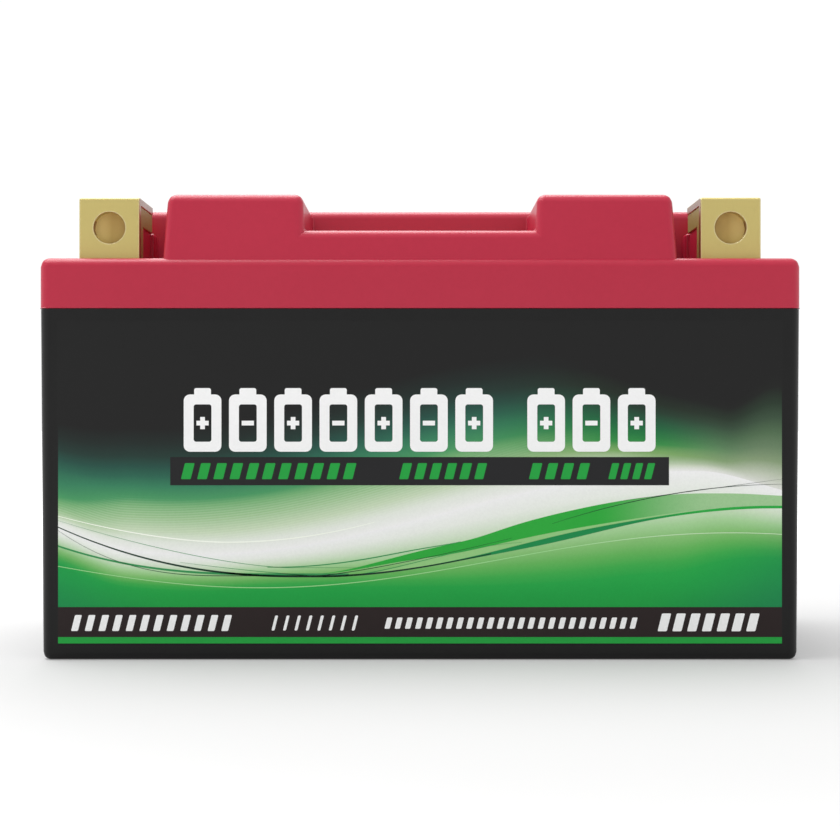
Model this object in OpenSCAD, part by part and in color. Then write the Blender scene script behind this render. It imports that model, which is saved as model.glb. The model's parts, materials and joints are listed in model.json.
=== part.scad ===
// Motorcycle battery, lithium iron phosphate, four cells in series.
// Origin: centre of the bottom face. +Z is up, and the labelled front faces -Y.

/* [Body] */
// Overall length of the battery along X
body_l = 150; // [146:1:156]
// Overall width of the battery along Y
body_w = 65; // [64:1:70]
// Overall height, from the base to the top of the lid
body_h = 92; // [91:0.5:94]
// Height of the seam between the case and the lid
seam_z = 69.2; // [68.5:0.1:69.5]
// Height of the shoulder that the terminals stand on
shoulder_z = 79.2; // [79:0.1:80]
// Wall thickness of the case
wall = 2.2; // [1.8:0.1:2.4]
// How far the case stands back from the lid at the seam
seam_step = 0.05; // [0.05:0.05:0.3]
// Draft of each end wall of the case, from the seam to the base
case_draft = 0.5; // [0:0.05:0.6]
// Radius of the vertical corners
corner_r = 2; // [1.5:0.1:3]
// Radius of the bottom edge of the case
base_r = 1.4; // [0.8:0.1:2]
// Radius of the lid's shoulder edge
shoulder_r = 1.8; // [1:0.1:2]

/* [Lid top] */
// Depth from the front of the lid to the face of the rear plateau
plateau_depth = 26.3; // [26:0.1:28]
// Half length of the rear plateau at its foot
plateau_half_l = 73.4; // [71:0.1:73.6]
// Distance from the centre to the outer side of each front block, at its foot
block_outer_x = 50.85; // [50:0.05:52]
// Distance from the centre to the inner side of each front block
block_inner_x = 22.9; // [20:0.1:26]
// How far the blocks and the plateau stand back from the lid's outer walls
block_setback = 0.8; // [0.3:0.1:1]
// Height of the floor of the notch between the front blocks
notch_z = 84.8; // [84:0.1:87]
// Radius of the upper edges of the blocks and the plateau
top_r = 1.7; // [0.8:0.1:2]
// Draft of the block and plateau sides, in degrees
block_draft = 4; // [2:0.5:5]
// Thickness of the lid's skin
skin = 2.2; // [1.8:0.1:2.4]

/* [Terminals] */
// Distance from the centre to each terminal's middle
terminal_x = 62.3; // [62:0.1:62.6]
// Width of a terminal
terminal_w = 12.1; // [11.5:0.1:12.4]
// Depth of a terminal, front to back
terminal_l = 15.5; // [15:0.1:16]
// Height of a terminal's top face
terminal_top_z = 91.9; // [91.6:0.1:92]
// Depth from the front of the lid to the terminal's front face
terminal_setback = 6; // [5:0.1:7]
// Thickness of the terminal plate's front
plate_front_t = 2; // [1.8:0.1:2.2]
// Thickness of the terminal plate's top
plate_top_t = 1.6; // [1.5:0.1:1.8]
// Thickness of the terminal block's upright leg
leg_t = 3; // [2.8:0.1:3.2]
// Thickness of the terminal block's level arm
arm_t = 3.8; // [3.5:0.1:4]
// Diameter of the bolt holes in the terminal plate
bolt_hole_d = 6.4; // [6.2:0.1:6.6]
// Diameter of the tapped hole in the terminal block, at the thread's core
tapped_d = 5; // [4.9:0.1:5.1]
// Height of the middle of the front bolt hole
front_hole_z = 85.8; // [85.5:0.1:86]

/* [Cells] */
// Diameter of a cell's steel can
can_d = 32; // [31.8:0.1:32.2]
// Height of a cell over its contacts
cell_h = 65; // [64:0.5:66]
// Distance between the axes of neighbouring cells
cell_pitch = 33.2; // [33:0.1:33.4]
// Height of the underside of the cells
cell_z = 7; // [6.5:0.1:7.5]

/* [Circuit board] */
// Length of the board
board_l = 100; // [90:1:104]
// Width of the board
board_w = 24; // [22:0.5:25]
// Thickness of the board
board_t = 1.6; // [1.2:0.2:1.6]
// Height of the board's underside
board_z = 79; // [78.5:0.5:80]

/* [Hidden] */

ROUND = 96;       // segments of a plain round shape
HULL_ROUND = 32;  // segments of a shape inside a hull
FAR = 200;        // longer than anything that is cut
CUT = 0.5;        // how far a cutter passes a face
FIT = 0.1;        // gap between two pieces that fit each other
THIN = 0.1;       // thickness of a slice inside a hull

half_l = body_l / 2;
half_w = body_w / 2;
case_half_l = half_l - seam_step;
case_half_w = half_w - seam_step;

// Inside of the case, and the tongue and rebate at the seam
floor_z = 2.4;
inner_half_l = case_half_l - case_draft - wall + 0.2;
inner_half_w = case_half_w - wall;
tongue_t = 1.05;
tongue_h = 2.5;
rebate_h = 3.2;

// Recess for the label in the front of the case
label_half_l = 71.15;
label_bottom_z = 2.9;
label_top_z = 66.6;
label_t = 0.2;

// Rear plateau and front blocks
plateau_front_y = -half_w + plateau_depth;
block_front_y = -half_w + block_setback;
plateau_back_y = half_w - block_setback;
raised_h = body_h - shoulder_z;
lean = raised_h * tan(block_draft);

// Terminal geometry, front to back
plate_front_y = -half_w + terminal_setback;
leg_front_y = plate_front_y + plate_front_t;
leg_back_y = leg_front_y + leg_t;
terminal_back_y = plate_front_y + terminal_l;
arm_top_z = terminal_top_z - plate_top_t;
arm_z = arm_top_z - arm_t;
bolt_r = 3;
top_hole_y = leg_back_y + bolt_r + 0.5;
block_w = terminal_w - 0.3;
tab_w = block_w;
tab_bottom_z = 64;
pedestal_back_y = terminal_back_y + 3.6;
pedestal_w = block_w - 0.6;
pedestal_rear_w = terminal_w + 0.7;
bolt_well_depth = 6;
bolt_well_w = 6.6;

// Potting well under each terminal
potting_w = 18;
potting_l = 8;
potting_t = 2.6;
well_wall = 1.2;

// Cell details
can_t = 0.4;
sleeve_t = 0.2;
lip_r = 13;
cap_r = 14.6;
boss_r = 6;
boss_h = 1.2;
cell_top_z = cell_z + cell_h;
CELL_X = [for (i = [0:3]) (i - 1.5) * cell_pitch];
CAP_UP = [true, false, true, false];

// Cell tray and frame
holder_half_l = 69.5;
tray_half_w = 20;
holder_r = can_d / 2 + sleeve_t + 0.15;
tray_z = 4.4;
tray_h = 9.6;
frame_z = 64;
frame_top_z = 74;
frame_back_y = 29.4;

// Bars that join the cells, and the screws that hold the busbars
bar_t = 1;
bar_w = 10;
link_over = 7;
screw_d = 4;
busbar_hole_d = 4.4;
busbar_hole_z = 68.2;
nut_flats = 7;
hex_d = nut_flats / cos(30);

// Circuit board and what stands on it
board_y = 14;
board_top_z = board_z + board_t;
standoff_x = board_l / 2 - 4;
standoff_y = board_w / 2 - 3;
standoff_r = 3;
board_screw_d = 2.5;
socket_x = -38;
lead_pitch = 2.5;
lead_d = 1.6;
lead_way = 4;
lead_y = 17.2;
socket_w = 15;
socket_l = 6;
socket_h = 5;
socket_t = 0.9;
plug_h = 4;

// ---------- Shared shapes ----------

// Flat plate with round vertical corners, from z0 to z1
module rounded_slab(hx, hy, r, z0, z1) {
    translate([0, 0, z0])
        linear_extrude(z1 - z0) {
            square([2 * hx, 2 * (hy - r)], center = true);
            square([2 * (hx - r), 2 * hy], center = true);
            for (sx = [-1, 1], sy = [-1, 1])
                translate([sx * (hx - r), sy * (hy - r)])
                    circle(r, $fn = ROUND);
        }
}

// Box between two corners
module span(low, high) {
    translate(low)
        cube(high - low);
}

// Half ball that rests on its flat side
module dome(r) {
    rotate_extrude($fn = HULL_ROUND)
        intersection() {
            circle(r, $fn = HULL_ROUND);
            square(r);
        }
}

// Raised block: foot rectangle at z0, top edges rounded by r and drawn in by the draft
module raised_block(x0, x1, y0, y1, z0, z1, r, in_x0, in_x1, in_y0, in_y1) {
    hull() {
        for (x = [x0 + r, x1 - r], y = [y0 + r, y1 - r])
            translate([x, y, z0])
                cylinder(r = r, h = THIN, $fn = HULL_ROUND);
        for (x = [x0 + r + in_x0, x1 - r - in_x1], y = [y0 + r + in_y0, y1 - r - in_y1])
            translate([x, y, z1 - r])
                dome(r);
    }
}

function unit(v) = v / norm(v);

// Direction of a route at its point i
function heading(route, i) =
    unit(route[min(i + 1, len(route) - 1)] - route[max(i - 1, 0)]);

// Side vectors carried along the route without twist
function sides(route, i = 0, before = [1, 0, 0]) =
    i >= len(route) ? [] :
    let (t = heading(route, i), s = unit(before - t * (before * t)))
    concat([s], sides(route, i + 1, s));

// Route through hand-placed points, smoothed once by cutting each corner in three
function softened(p) =
    concat([p[0]],
           [for (i = [1:len(p) - 2])
                each [0.8 * p[i] + 0.2 * p[i - 1],
                      0.9 * p[i] + 0.05 * p[i - 1] + 0.05 * p[i + 1],
                      0.8 * p[i] + 0.2 * p[i + 1]]],
           [p[len(p) - 1]]);

// Round wire swept along a route
module wire(points, d, n = 8) {
    route = softened(points);
    side = sides(route);
    rings = len(route);
    verts = [for (i = [0:rings - 1], k = [0:n - 1])
        let (t = heading(route, i), s = side[i], u = cross(t, s), a = 360 * k / n)
        route[i] + d / 2 * (cos(a) * s + sin(a) * u)];
    walls = [for (i = [0:rings - 2], k = [0:n - 1])
        [i * n + k, (i + 1) * n + k, (i + 1) * n + (k + 1) % n, i * n + (k + 1) % n]];
    first_end = [for (k = [0:n - 1]) k];
    last_end = [for (k = [n - 1:-1:0]) (rings - 1) * n + k];
    polyhedron(verts, concat(walls, [first_end, last_end]), convexity = 4);
}

// ---------- Housing ----------

module case_outer() {
    hull() {
        for (sx = [-1, 1], sy = [-1, 1]) {
            translate([sx * (case_half_l - corner_r), sy * (case_half_w - corner_r), seam_z - THIN])
                cylinder(r = corner_r, h = THIN, $fn = HULL_ROUND);
            translate([sx * (case_half_l - case_draft - base_r), sy * (case_half_w - base_r), base_r])
                mirror([0, 0, 1])
                    dome(base_r);
        }
    }
}

module case_shell() {
    tongue_half_l = inner_half_l + tongue_t;
    tongue_half_w = inner_half_w + tongue_t;
    recess_half_l = 64;
    recess_half_w = 22;
    recess_h = 0.8;
    rib_w = 1.6;
    rib_pitch = 32;
    color([0.16, 0.16, 0.16])
        difference() {
            union() {
                case_outer();
                rounded_slab(tongue_half_l, tongue_half_w, 1.2, seam_z - 1, seam_z + tongue_h);
            }
            rounded_slab(inner_half_l, inner_half_w, 1, floor_z, seam_z + tongue_h + CUT);
            span([-label_half_l, -half_w - CUT, label_bottom_z],
                 [label_half_l, -case_half_w + label_t, label_top_z]);
            // Shallow recess under the base, with ribs across it
            difference() {
                rounded_slab(recess_half_l, recess_half_w, 3, -CUT, recess_h);
                for (i = [-1:1])
                    span([i * rib_pitch - rib_w / 2, -recess_half_w - CUT, 0],
                         [i * rib_pitch + rib_w / 2, recess_half_w + CUT, recess_h + CUT]);
            }
        }
}

// Outer form of the lid: skirt and shoulder, rear plateau, two front blocks and the bridge
module lid_outer() {
    raised_block(-half_l, half_l, -half_w, half_w, seam_z, shoulder_z, shoulder_r, 0, 0, 0, 0);
    foot_z = shoulder_z - 1;
    raised_block(-plateau_half_l, plateau_half_l, plateau_front_y, plateau_back_y,
                 foot_z, body_h, top_r, lean, lean, lean, lean);
    for (s = [-1, 1])
        scale([s, 1, 1])
            raised_block(block_inner_x, block_outer_x, block_front_y, plateau_front_y + 5,
                         foot_z, body_h, top_r, 0, lean, lean, 0);
    bridge_lean = (notch_z - shoulder_z) * tan(block_draft);
    raised_block(-block_inner_x - 2, block_inner_x + 2, block_front_y, plateau_front_y + 5,
                 foot_z, notch_z, top_r, 0, 0, bridge_lean, 0);
}

// Plastic block under a terminal's arm, and a wider rear part behind the arm with its upper edge rounded
module pedestal(s) {
    edge_r = 1.2;
    foot_z = shoulder_z - 1;
    span([s * terminal_x - pedestal_w / 2, leg_back_y + FIT, foot_z],
         [s * terminal_x + pedestal_w / 2, terminal_back_y + 1, arm_z]);
    translate([s * terminal_x - pedestal_rear_w / 2, 0, 0])
        rotate([90, 0, 90])
            linear_extrude(pedestal_rear_w) {
                polygon([[terminal_back_y, foot_z], [pedestal_back_y, foot_z],
                         [pedestal_back_y, arm_z - edge_r], [pedestal_back_y - edge_r, arm_z - edge_r],
                         [pedestal_back_y - edge_r, arm_z], [terminal_back_y, arm_z]]);
                translate([pedestal_back_y - edge_r, arm_z - edge_r])
                    circle(edge_r, $fn = ROUND);
            }
}

// Walls of the well that holds the potting under a terminal
module potting_well(s) {
    y_mid = (leg_front_y + leg_back_y) / 2;
    hx = potting_w / 2 + well_wall;
    hy = potting_l / 2 + well_wall;
    z0 = shoulder_z - skin - potting_t - 1;
    span([s * terminal_x - hx, y_mid - hy, z0],
         [s * terminal_x + hx, y_mid + hy, shoulder_z - skin + CUT]);
}

// Plus and minus signs sunk into the plateau behind the terminals
module polarity_signs() {
    sign_l = 7;
    sign_t = 1.6;
    sign_depth = 0.5;
    sign_y = plateau_front_y + 12;
    sign_z = body_h - sign_depth;
    for (s = [-1, 1])
        span([s * terminal_x - sign_l / 2, sign_y - sign_t / 2, sign_z],
             [s * terminal_x + sign_l / 2, sign_y + sign_t / 2, body_h + CUT]);
    span([-terminal_x - sign_t / 2, sign_y - sign_l / 2, sign_z],
         [-terminal_x + sign_t / 2, sign_y + sign_l / 2, body_h + CUT]);
}

// Hollow under the lid: the skirt, the rebate, the bridge, the blocks and the plateau
module lid_cavity() {
    front_y = block_front_y + skin + lean;
    back_y = plateau_front_y + skin + lean + 1;
    low_z = seam_z - CUT;
    roof_z = body_h - skin - 0.4;
    block_mid_x = (block_inner_x + block_outer_x - lean) / 2;
    block_room = (block_outer_x - block_inner_x - lean) / 2 - skin;
    rounded_slab(inner_half_l, inner_half_w, 1, low_z, shoulder_z - skin);
    rounded_slab(inner_half_l + tongue_t + FIT, inner_half_w + tongue_t + FIT, 1.3,
                 low_z, seam_z + rebate_h);
    span([-block_outer_x + skin + lean, front_y, low_z],
         [block_outer_x - skin - lean, back_y, notch_z - skin]);
    for (s = [-1, 1])
        span([s * block_mid_x - block_room, front_y, low_z],
             [s * block_mid_x + block_room, back_y, roof_z]);
    span([-plateau_half_l + skin + lean, plateau_front_y + skin + lean, low_z],
         [plateau_half_l - skin - lean, plateau_back_y - skin - lean, roof_z]);
}

module lid_shell() {
    y_mid = (leg_front_y + leg_back_y) / 2;
    color([0.72, 0.11, 0.18])
        difference() {
            union() {
                difference() {
                    lid_outer();
                    lid_cavity();
                }
                for (s = [-1, 1]) {
                    pedestal(s);
                    potting_well(s);
                }
            }
            polarity_signs();
            for (s = [-1, 1]) {
                // Slot for the terminal's tab, and the space for the potting
                span([s * terminal_x - tab_w / 2 - FIT, leg_front_y - FIT, seam_z],
                     [s * terminal_x + tab_w / 2 + FIT, leg_back_y + FIT, shoulder_z + CUT]);
                span([s * terminal_x - potting_w / 2, y_mid - potting_l / 2, seam_z],
                     [s * terminal_x + potting_w / 2, y_mid + potting_l / 2, shoulder_z - skin]);
                // Square pocket that leaves room for the end of the bolt
                span([s * terminal_x - bolt_well_w / 2, top_hole_y - bolt_well_w / 2,
                      arm_z - bolt_well_depth],
                     [s * terminal_x + bolt_well_w / 2, top_hole_y + bolt_well_w / 2, arm_z + CUT]);
            }
        }
}

// Bead of sealant that fills the rebate above the tongue
module lid_seal() {
    color([0.35, 0.35, 0.36])
        difference() {
            rounded_slab(inner_half_l + tongue_t, inner_half_w + tongue_t, 1.2,
                         seam_z + tongue_h, seam_z + rebate_h);
            rounded_slab(inner_half_l + 0.2, inner_half_w + 0.2, 1,
                         seam_z, seam_z + rebate_h + CUT);
        }
}

module front_label() {
    gap = 0.15;
    color([0.17, 0.62, 0.28])
        span([-label_half_l + gap, -case_half_w, label_bottom_z + gap],
             [label_half_l - gap, -case_half_w + label_t, label_top_z - gap]);
}

// ---------- Terminals ----------

// Sheet brass folded over the front and top of the terminal block
module terminal_plate(s) {
    fold_r = 0.4;
    color([0.76, 0.7, 0.42])
        difference() {
            translate([s * terminal_x - terminal_w / 2, 0, 0])
                rotate([90, 0, 90])
                    linear_extrude(terminal_w)
                        union() {
                            polygon([[plate_front_y, shoulder_z], [leg_front_y, shoulder_z],
                                     [leg_front_y, arm_top_z], [terminal_back_y, arm_top_z],
                                     [terminal_back_y, terminal_top_z],
                                     [plate_front_y + fold_r, terminal_top_z],
                                     [plate_front_y + fold_r, terminal_top_z - fold_r],
                                     [plate_front_y, terminal_top_z - fold_r]]);
                            translate([plate_front_y + fold_r, terminal_top_z - fold_r])
                                circle(fold_r, $fn = ROUND);
                        }
            translate([s * terminal_x, plate_front_y - CUT, front_hole_z])
                rotate([-90, 0, 0])
                    cylinder(d = bolt_hole_d, h = plate_front_t + 2 * CUT, $fn = ROUND);
            translate([s * terminal_x, top_hole_y, arm_top_z - CUT])
                cylinder(d = bolt_hole_d, h = plate_top_t + 2 * CUT, $fn = ROUND);
        }
}

// Solid brass angle: the leg runs down through the lid as a tab, and the arm is tapped
module terminal_block(s) {
    color([0.7, 0.6, 0.33])
        difference() {
            union() {
                span([s * terminal_x - block_w / 2, leg_front_y, tab_bottom_z],
                     [s * terminal_x + block_w / 2, leg_back_y, arm_top_z]);
                span([s * terminal_x - block_w / 2, leg_front_y, arm_z],
                     [s * terminal_x + block_w / 2, terminal_back_y, arm_top_z]);
            }
            translate([s * terminal_x, top_hole_y, arm_z - CUT])
                cylinder(d = tapped_d, h = arm_t + 2 * CUT, $fn = ROUND);
            translate([s * terminal_x, leg_front_y - CUT, busbar_hole_z])
                rotate([-90, 0, 0])
                    cylinder(d = busbar_hole_d, h = leg_t + 2 * CUT, $fn = ROUND);
        }
}

// Resin poured around the tab, under the lid
module terminal_potting(s) {
    y_mid = (leg_front_y + leg_back_y) / 2;
    z1 = shoulder_z - skin;
    color([0.12, 0.12, 0.13])
        difference() {
            span([s * terminal_x - potting_w / 2, y_mid - potting_l / 2, z1 - potting_t],
                 [s * terminal_x + potting_w / 2, y_mid + potting_l / 2, z1]);
            span([s * terminal_x - block_w / 2, leg_front_y, z1 - potting_t - CUT],
                 [s * terminal_x + block_w / 2, leg_back_y, z1 + CUT]);
        }
}

// ---------- Cells ----------

// Places a cell part drawn with its cap at the top; every second cell stands on its cap
module place_cell(i) {
    translate([CELL_X[i], 0, cell_z])
        if (CAP_UP[i]) children();
        else translate([0, 0, cell_h]) rotate([180, 0, 0]) children();
}

// Deep-drawn steel can with a step at its foot for the sleeve's lip
module cell_can(i) {
    r = can_d / 2;
    rim_z = cell_h - boss_h - sleeve_t;
    color([0.75, 0.76, 0.78])
        place_cell(i)
            rotate_extrude($fn = ROUND)
                polygon([[0, 0], [lip_r, 0], [lip_r, sleeve_t], [r, sleeve_t], [r, rim_z],
                         [cap_r, rim_z], [cap_r, rim_z - 0.5], [r - can_t, rim_z - 0.5],
                         [r - can_t, 0.7], [0, 0.7]]);
}

// Wound electrodes around a hollow core
module electrode_roll(i) {
    color([0.25, 0.25, 0.28])
        place_cell(i)
            rotate_extrude($fn = ROUND)
                translate([1.5, 1.5])
                    square([can_d / 2 - can_t - 0.3 - 1.5, cell_h - 8]);
}

// Positive cap: a disc with a raised contact boss
module cell_cap(i) {
    z1 = cell_h - boss_h - sleeve_t - 0.5;
    color([0.82, 0.82, 0.8])
        place_cell(i)
            rotate_extrude($fn = ROUND)
                polygon([[0, z1 - 1.2], [cap_r - 0.8, z1 - 1.2], [cap_r - 0.8, z1], [boss_r, z1],
                         [boss_r - 0.6, cell_h], [0, cell_h]]);
}

// Plastic ring that insulates the cap from the can
module cap_gasket(i) {
    z1 = cell_h - boss_h - sleeve_t - 0.5;
    r = can_d / 2 - can_t;
    color([0.08, 0.08, 0.09])
        place_cell(i)
            rotate_extrude($fn = ROUND)
                polygon([[cap_r - 2, z1 - 2], [r, z1 - 2], [r, z1], [cap_r - 0.8, z1],
                         [cap_r - 0.8, z1 - 1.2], [cap_r - 2, z1 - 1.2]]);
}

// Shrink sleeve with a lip over each end
module cell_sleeve(i) {
    r = can_d / 2;
    rim_z = cell_h - boss_h - sleeve_t;
    color([0.1, 0.35, 0.65])
        place_cell(i)
            rotate_extrude($fn = ROUND)
                polygon([[lip_r, 0], [r + sleeve_t, 0], [r + sleeve_t, rim_z + sleeve_t],
                         [lip_r, rim_z + sleeve_t], [lip_r, rim_z], [r, rim_z],
                         [r, sleeve_t], [lip_r, sleeve_t]]);
}

// ---------- Cell tray, frame and foam ----------

module lower_cell_tray() {
    link_gap = 0.3;
    link_room = cell_pitch / 2 + link_over + link_gap;
    color([0.2, 0.2, 0.21])
        difference() {
            rounded_slab(holder_half_l, tray_half_w, 3, tray_z, tray_z + tray_h);
            for (x = CELL_X)
                translate([x, 0, cell_z])
                    cylinder(r = holder_r, h = FAR, $fn = ROUND);
            for (s = [-1, 1])
                span([s * cell_pitch - link_room, -bar_w / 2 - link_gap, cell_z - bar_t],
                     [s * cell_pitch + link_room, bar_w / 2 + link_gap, cell_z + CUT]);
            // Ways down for the leads of the two bottom links
            for (s = [-1, 1])
                span([s * cell_pitch - lead_way / 2, 0, cell_z - bar_t - 0.6],
                     [s * cell_pitch + lead_way / 2, lead_y + lead_way / 2, tray_z + tray_h + CUT]);
        }
}

module upper_cell_frame() {
    pocket_top_z = cell_top_z + FIT;
    end_x0 = CELL_X[3] - bar_w / 2 - 1;
    end_mid_x = (end_x0 + holder_half_l + CUT) / 2;
    end_room = (holder_half_l + CUT - end_x0) / 2;
    color([0.2, 0.2, 0.21])
        difference() {
            union() {
                translate([0, (frame_back_y - tray_half_w) / 2, 0])
                    rounded_slab(holder_half_l, (frame_back_y + tray_half_w) / 2, 3,
                                 frame_z, frame_top_z);
                for (sx = [-1, 1], sy = [-1, 1])
                    translate([sx * standoff_x, board_y + sy * standoff_y, frame_top_z - 1])
                        cylinder(r = standoff_r, h = board_z - frame_top_z + 1, $fn = ROUND);
            }
            // Cells come up from below and stop under a rim
            for (x = CELL_X) {
                translate([x, 0, frame_z - CUT])
                    cylinder(r = holder_r, h = pocket_top_z - frame_z + CUT, $fn = ROUND);
                translate([x, 0, frame_z])
                    cylinder(r = lip_r, h = FAR, $fn = ROUND);
            }
            // Channels for the top link and for the two busbars
            span([-cell_pitch / 2 - link_over - FIT, -bar_w / 2 - FIT, cell_top_z],
                 [cell_pitch / 2 + link_over + FIT, bar_w / 2 + FIT, frame_top_z + CUT]);
            for (s = [-1, 1]) {
                span([s * end_mid_x - end_room, -tray_half_w - CUT, cell_top_z],
                     [s * end_mid_x + end_room, bar_w / 2 + FIT, frame_top_z + CUT]);
                // Clear of the screw and its nut
                span([s * terminal_x - hex_d / 2 - 0.6, -tray_half_w - CUT, frame_z - CUT],
                     [s * terminal_x + hex_d / 2 + 0.6, leg_back_y + bar_t + 3.4, frame_top_z]);
            }
            // Ways down for the leads of the two bottom links
            for (s = [-1, 1])
                translate([s * cell_pitch, lead_y, frame_z - CUT])
                    cylinder(d = lead_way, h = FAR, $fn = ROUND);
            for (sx = [-1, 1], sy = [-1, 1])
                translate([sx * standoff_x, board_y + sy * standoff_y, board_z - 4])
                    cylinder(d = board_screw_d + FIT, h = FAR, $fn = ROUND);
        }
}

module foam_block(low, high) {
    color([0.22, 0.22, 0.24])
        span(low, high);
}

module base_foam() {
    foam_block([-inner_half_l + 0.4, -inner_half_w + 0.4, floor_z],
               [inner_half_l - 0.4, inner_half_w - 0.4, tray_z]);
}

module front_foam() {
    foam_block([-holder_half_l, -inner_half_w + 0.2, tray_z], [holder_half_l, -tray_half_w, 63]);
}

module rear_foam() {
    foam_block([-holder_half_l, tray_half_w, tray_z], [holder_half_l, inner_half_w - 0.2, 63]);
}

module end_foam(s) {
    x0 = s < 0 ? -inner_half_l + 0.2 : holder_half_l;
    x1 = s < 0 ? -holder_half_l : inner_half_l - 0.2;
    foam_block([x0, -inner_half_w + 0.4, tray_z], [x1, inner_half_w - 0.4, 68]);
}

// ---------- Bars that join the cells ----------

module series_link(x, z) {
    reach = cell_pitch / 2 + link_over;
    color([0.83, 0.82, 0.78])
        difference() {
            span([x - reach, -bar_w / 2, z], [x + reach, bar_w / 2, z + bar_t]);
            // Slit that steers the welding current at each end
            for (s = [-1, 1])
                span([x + s * cell_pitch / 2 - link_over - CUT, -0.4, z - CUT],
                     [x + s * cell_pitch / 2 + link_over + CUT, 0.4, z + bar_t + CUT]);
        }
}

// Copper bar from a terminal's tab to the contact of the end cell
module busbar(s) {
    bar_y = leg_back_y;
    tab_half = bar_w / 2;
    mid_x = (terminal_x + CELL_X[3]) / 2;
    reach = (terminal_x - CELL_X[3]) / 2 + tab_half;
    color([0.8, 0.47, 0.3])
        difference() {
            union() {
                span([s * terminal_x - tab_half, bar_y, tab_bottom_z],
                     [s * terminal_x + tab_half, bar_y + bar_t, cell_top_z + bar_t]);
                span([s * terminal_x - tab_half, bar_y, cell_top_z],
                     [s * terminal_x + tab_half, bar_w / 2, cell_top_z + bar_t]);
                span([s * mid_x - reach, -bar_w / 2, cell_top_z],
                     [s * mid_x + reach, bar_w / 2, cell_top_z + bar_t]);
            }
            translate([s * terminal_x, bar_y - CUT, busbar_hole_z])
                rotate([-90, 0, 0])
                    cylinder(d = busbar_hole_d, h = bar_t + 2 * CUT, $fn = ROUND);
        }
}

// Pan-head screws through the tabs and busbars, heads towards the front
module busbar_screws() {
    color([0.7, 0.7, 0.72])
        for (s = [-1, 1])
            translate([s * terminal_x, leg_front_y, busbar_hole_z])
                rotate([-90, 0, 0])
                    difference() {
                        union() {
                            cylinder(d = screw_d, h = leg_t + bar_t + 1.6, $fn = ROUND);
                            translate([0, 0, -2.2])
                                cylinder(d = 7.6, h = 2.2, $fn = ROUND);
                        }
                        translate([0, 0, -2.7])
                            cylinder(d = 3.2, h = 1.9, $fn = 6);
                    }
}

module busbar_nuts() {
    nut_t = 1.5;
    color([0.72, 0.72, 0.74])
        for (s = [-1, 1])
            translate([s * terminal_x, leg_back_y + bar_t, busbar_hole_z])
                rotate([-90, 0, 0])
                    difference() {
                        cylinder(d = hex_d, h = nut_t, $fn = 6);
                        translate([0, 0, -CUT])
                            cylinder(d = screw_d + FIT, h = nut_t + 2 * CUT, $fn = ROUND);
                    }
}

// ---------- Circuit board ----------

module insulation_sheet() {
    sheet_t = 0.4;
    color([0.55, 0.7, 0.6])
        difference() {
            span([-holder_half_l + 1, -tray_half_w + 6, frame_top_z],
                 [holder_half_l - 1, frame_back_y - 1, frame_top_z + sheet_t]);
            for (sx = [-1, 1], sy = [-1, 1])
                translate([sx * standoff_x, board_y + sy * standoff_y, frame_top_z - CUT])
                    cylinder(r = standoff_r + 0.2, h = 2, $fn = ROUND);
            for (p = LEAD_HOLES)
                translate([p[0], p[1], frame_top_z - CUT])
                    cylinder(d = lead_way, h = 2, $fn = ROUND);
        }
}

module circuit_board() {
    color([0.05, 0.32, 0.16])
        difference() {
            span([-board_l / 2, board_y - board_w / 2, board_z],
                 [board_l / 2, board_y + board_w / 2, board_top_z]);
            for (sx = [-1, 1], sy = [-1, 1])
                translate([sx * standoff_x, board_y + sy * standoff_y, board_z - CUT])
                    cylinder(d = board_screw_d + 0.5, h = board_t + 2 * CUT, $fn = ROUND);
        }
}

// One eight-legged chip for each cell
module balance_chips() {
    chip = [5, 4, 1.5];
    for (i = [0:3])
        translate([-22 + i * 16, board_y + 4, board_top_z]) {
            color([0.06, 0.06, 0.06])
                translate([-chip[0] / 2, -chip[1] / 2, 0.1])
                    cube(chip);
            color([0.8, 0.8, 0.8])
                for (k = [-1.5:1.5], s = [-1, 1])
                    translate([k * 1.27 - 0.2, s > 0 ? chip[1] / 2 : -chip[1] / 2 - 1, 0])
                        cube([0.4, 1, 0.3]);
        }
}

// Two flat bleed resistors for each cell
module balance_resistors() {
    size = [6.3, 3.1, 0.7];
    color([0.1, 0.1, 0.12])
        for (i = [0:3], k = [0, 1])
            translate([-22 + i * 16 - size[0] / 2, board_y - 9 + k * 4.2, board_top_z])
                cube(size);
}

module board_capacitors() {
    color([0.66, 0.5, 0.32])
        for (i = [0:3])
            translate([-15.4 + i * 16, board_y + 2.6, board_top_z])
                cube([1.6, 3.2, 1.3]);
}

// Upright five-way socket at the left end of the board
module lead_socket() {
    color([0.93, 0.91, 0.84])
        difference() {
            translate([socket_x - socket_w / 2, board_y - socket_l / 2, board_top_z])
                cube([socket_w, socket_l, socket_h]);
            translate([socket_x - socket_w / 2 + socket_t, board_y - socket_l / 2 + socket_t,
                       board_top_z + 1])
                cube([socket_w - 2 * socket_t, socket_l - 2 * socket_t, socket_h]);
        }
    color([0.8, 0.8, 0.8])
        for (k = [-2:2])
            translate([socket_x + k * lead_pitch - 0.3, board_y - 0.3, board_top_z + 1])
                cube([0.6, 0.6, 2.6]);
}

// Plug that carries the five leads
module lead_plug() {
    pin = 0.7;
    color([0.9, 0.88, 0.8])
        difference() {
            translate([socket_x - socket_w / 2 + socket_t + FIT, board_y - socket_l / 2 + socket_t + FIT,
                       board_top_z + 1 + FIT])
                cube([socket_w - 2 * (socket_t + FIT), socket_l - 2 * (socket_t + FIT), plug_h]);
            for (k = [-2:2])
                translate([socket_x + k * lead_pitch - pin / 2, board_y - pin / 2, board_top_z + 0.5])
                    cube([pin, pin, 3.2]);
        }
}

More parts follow.
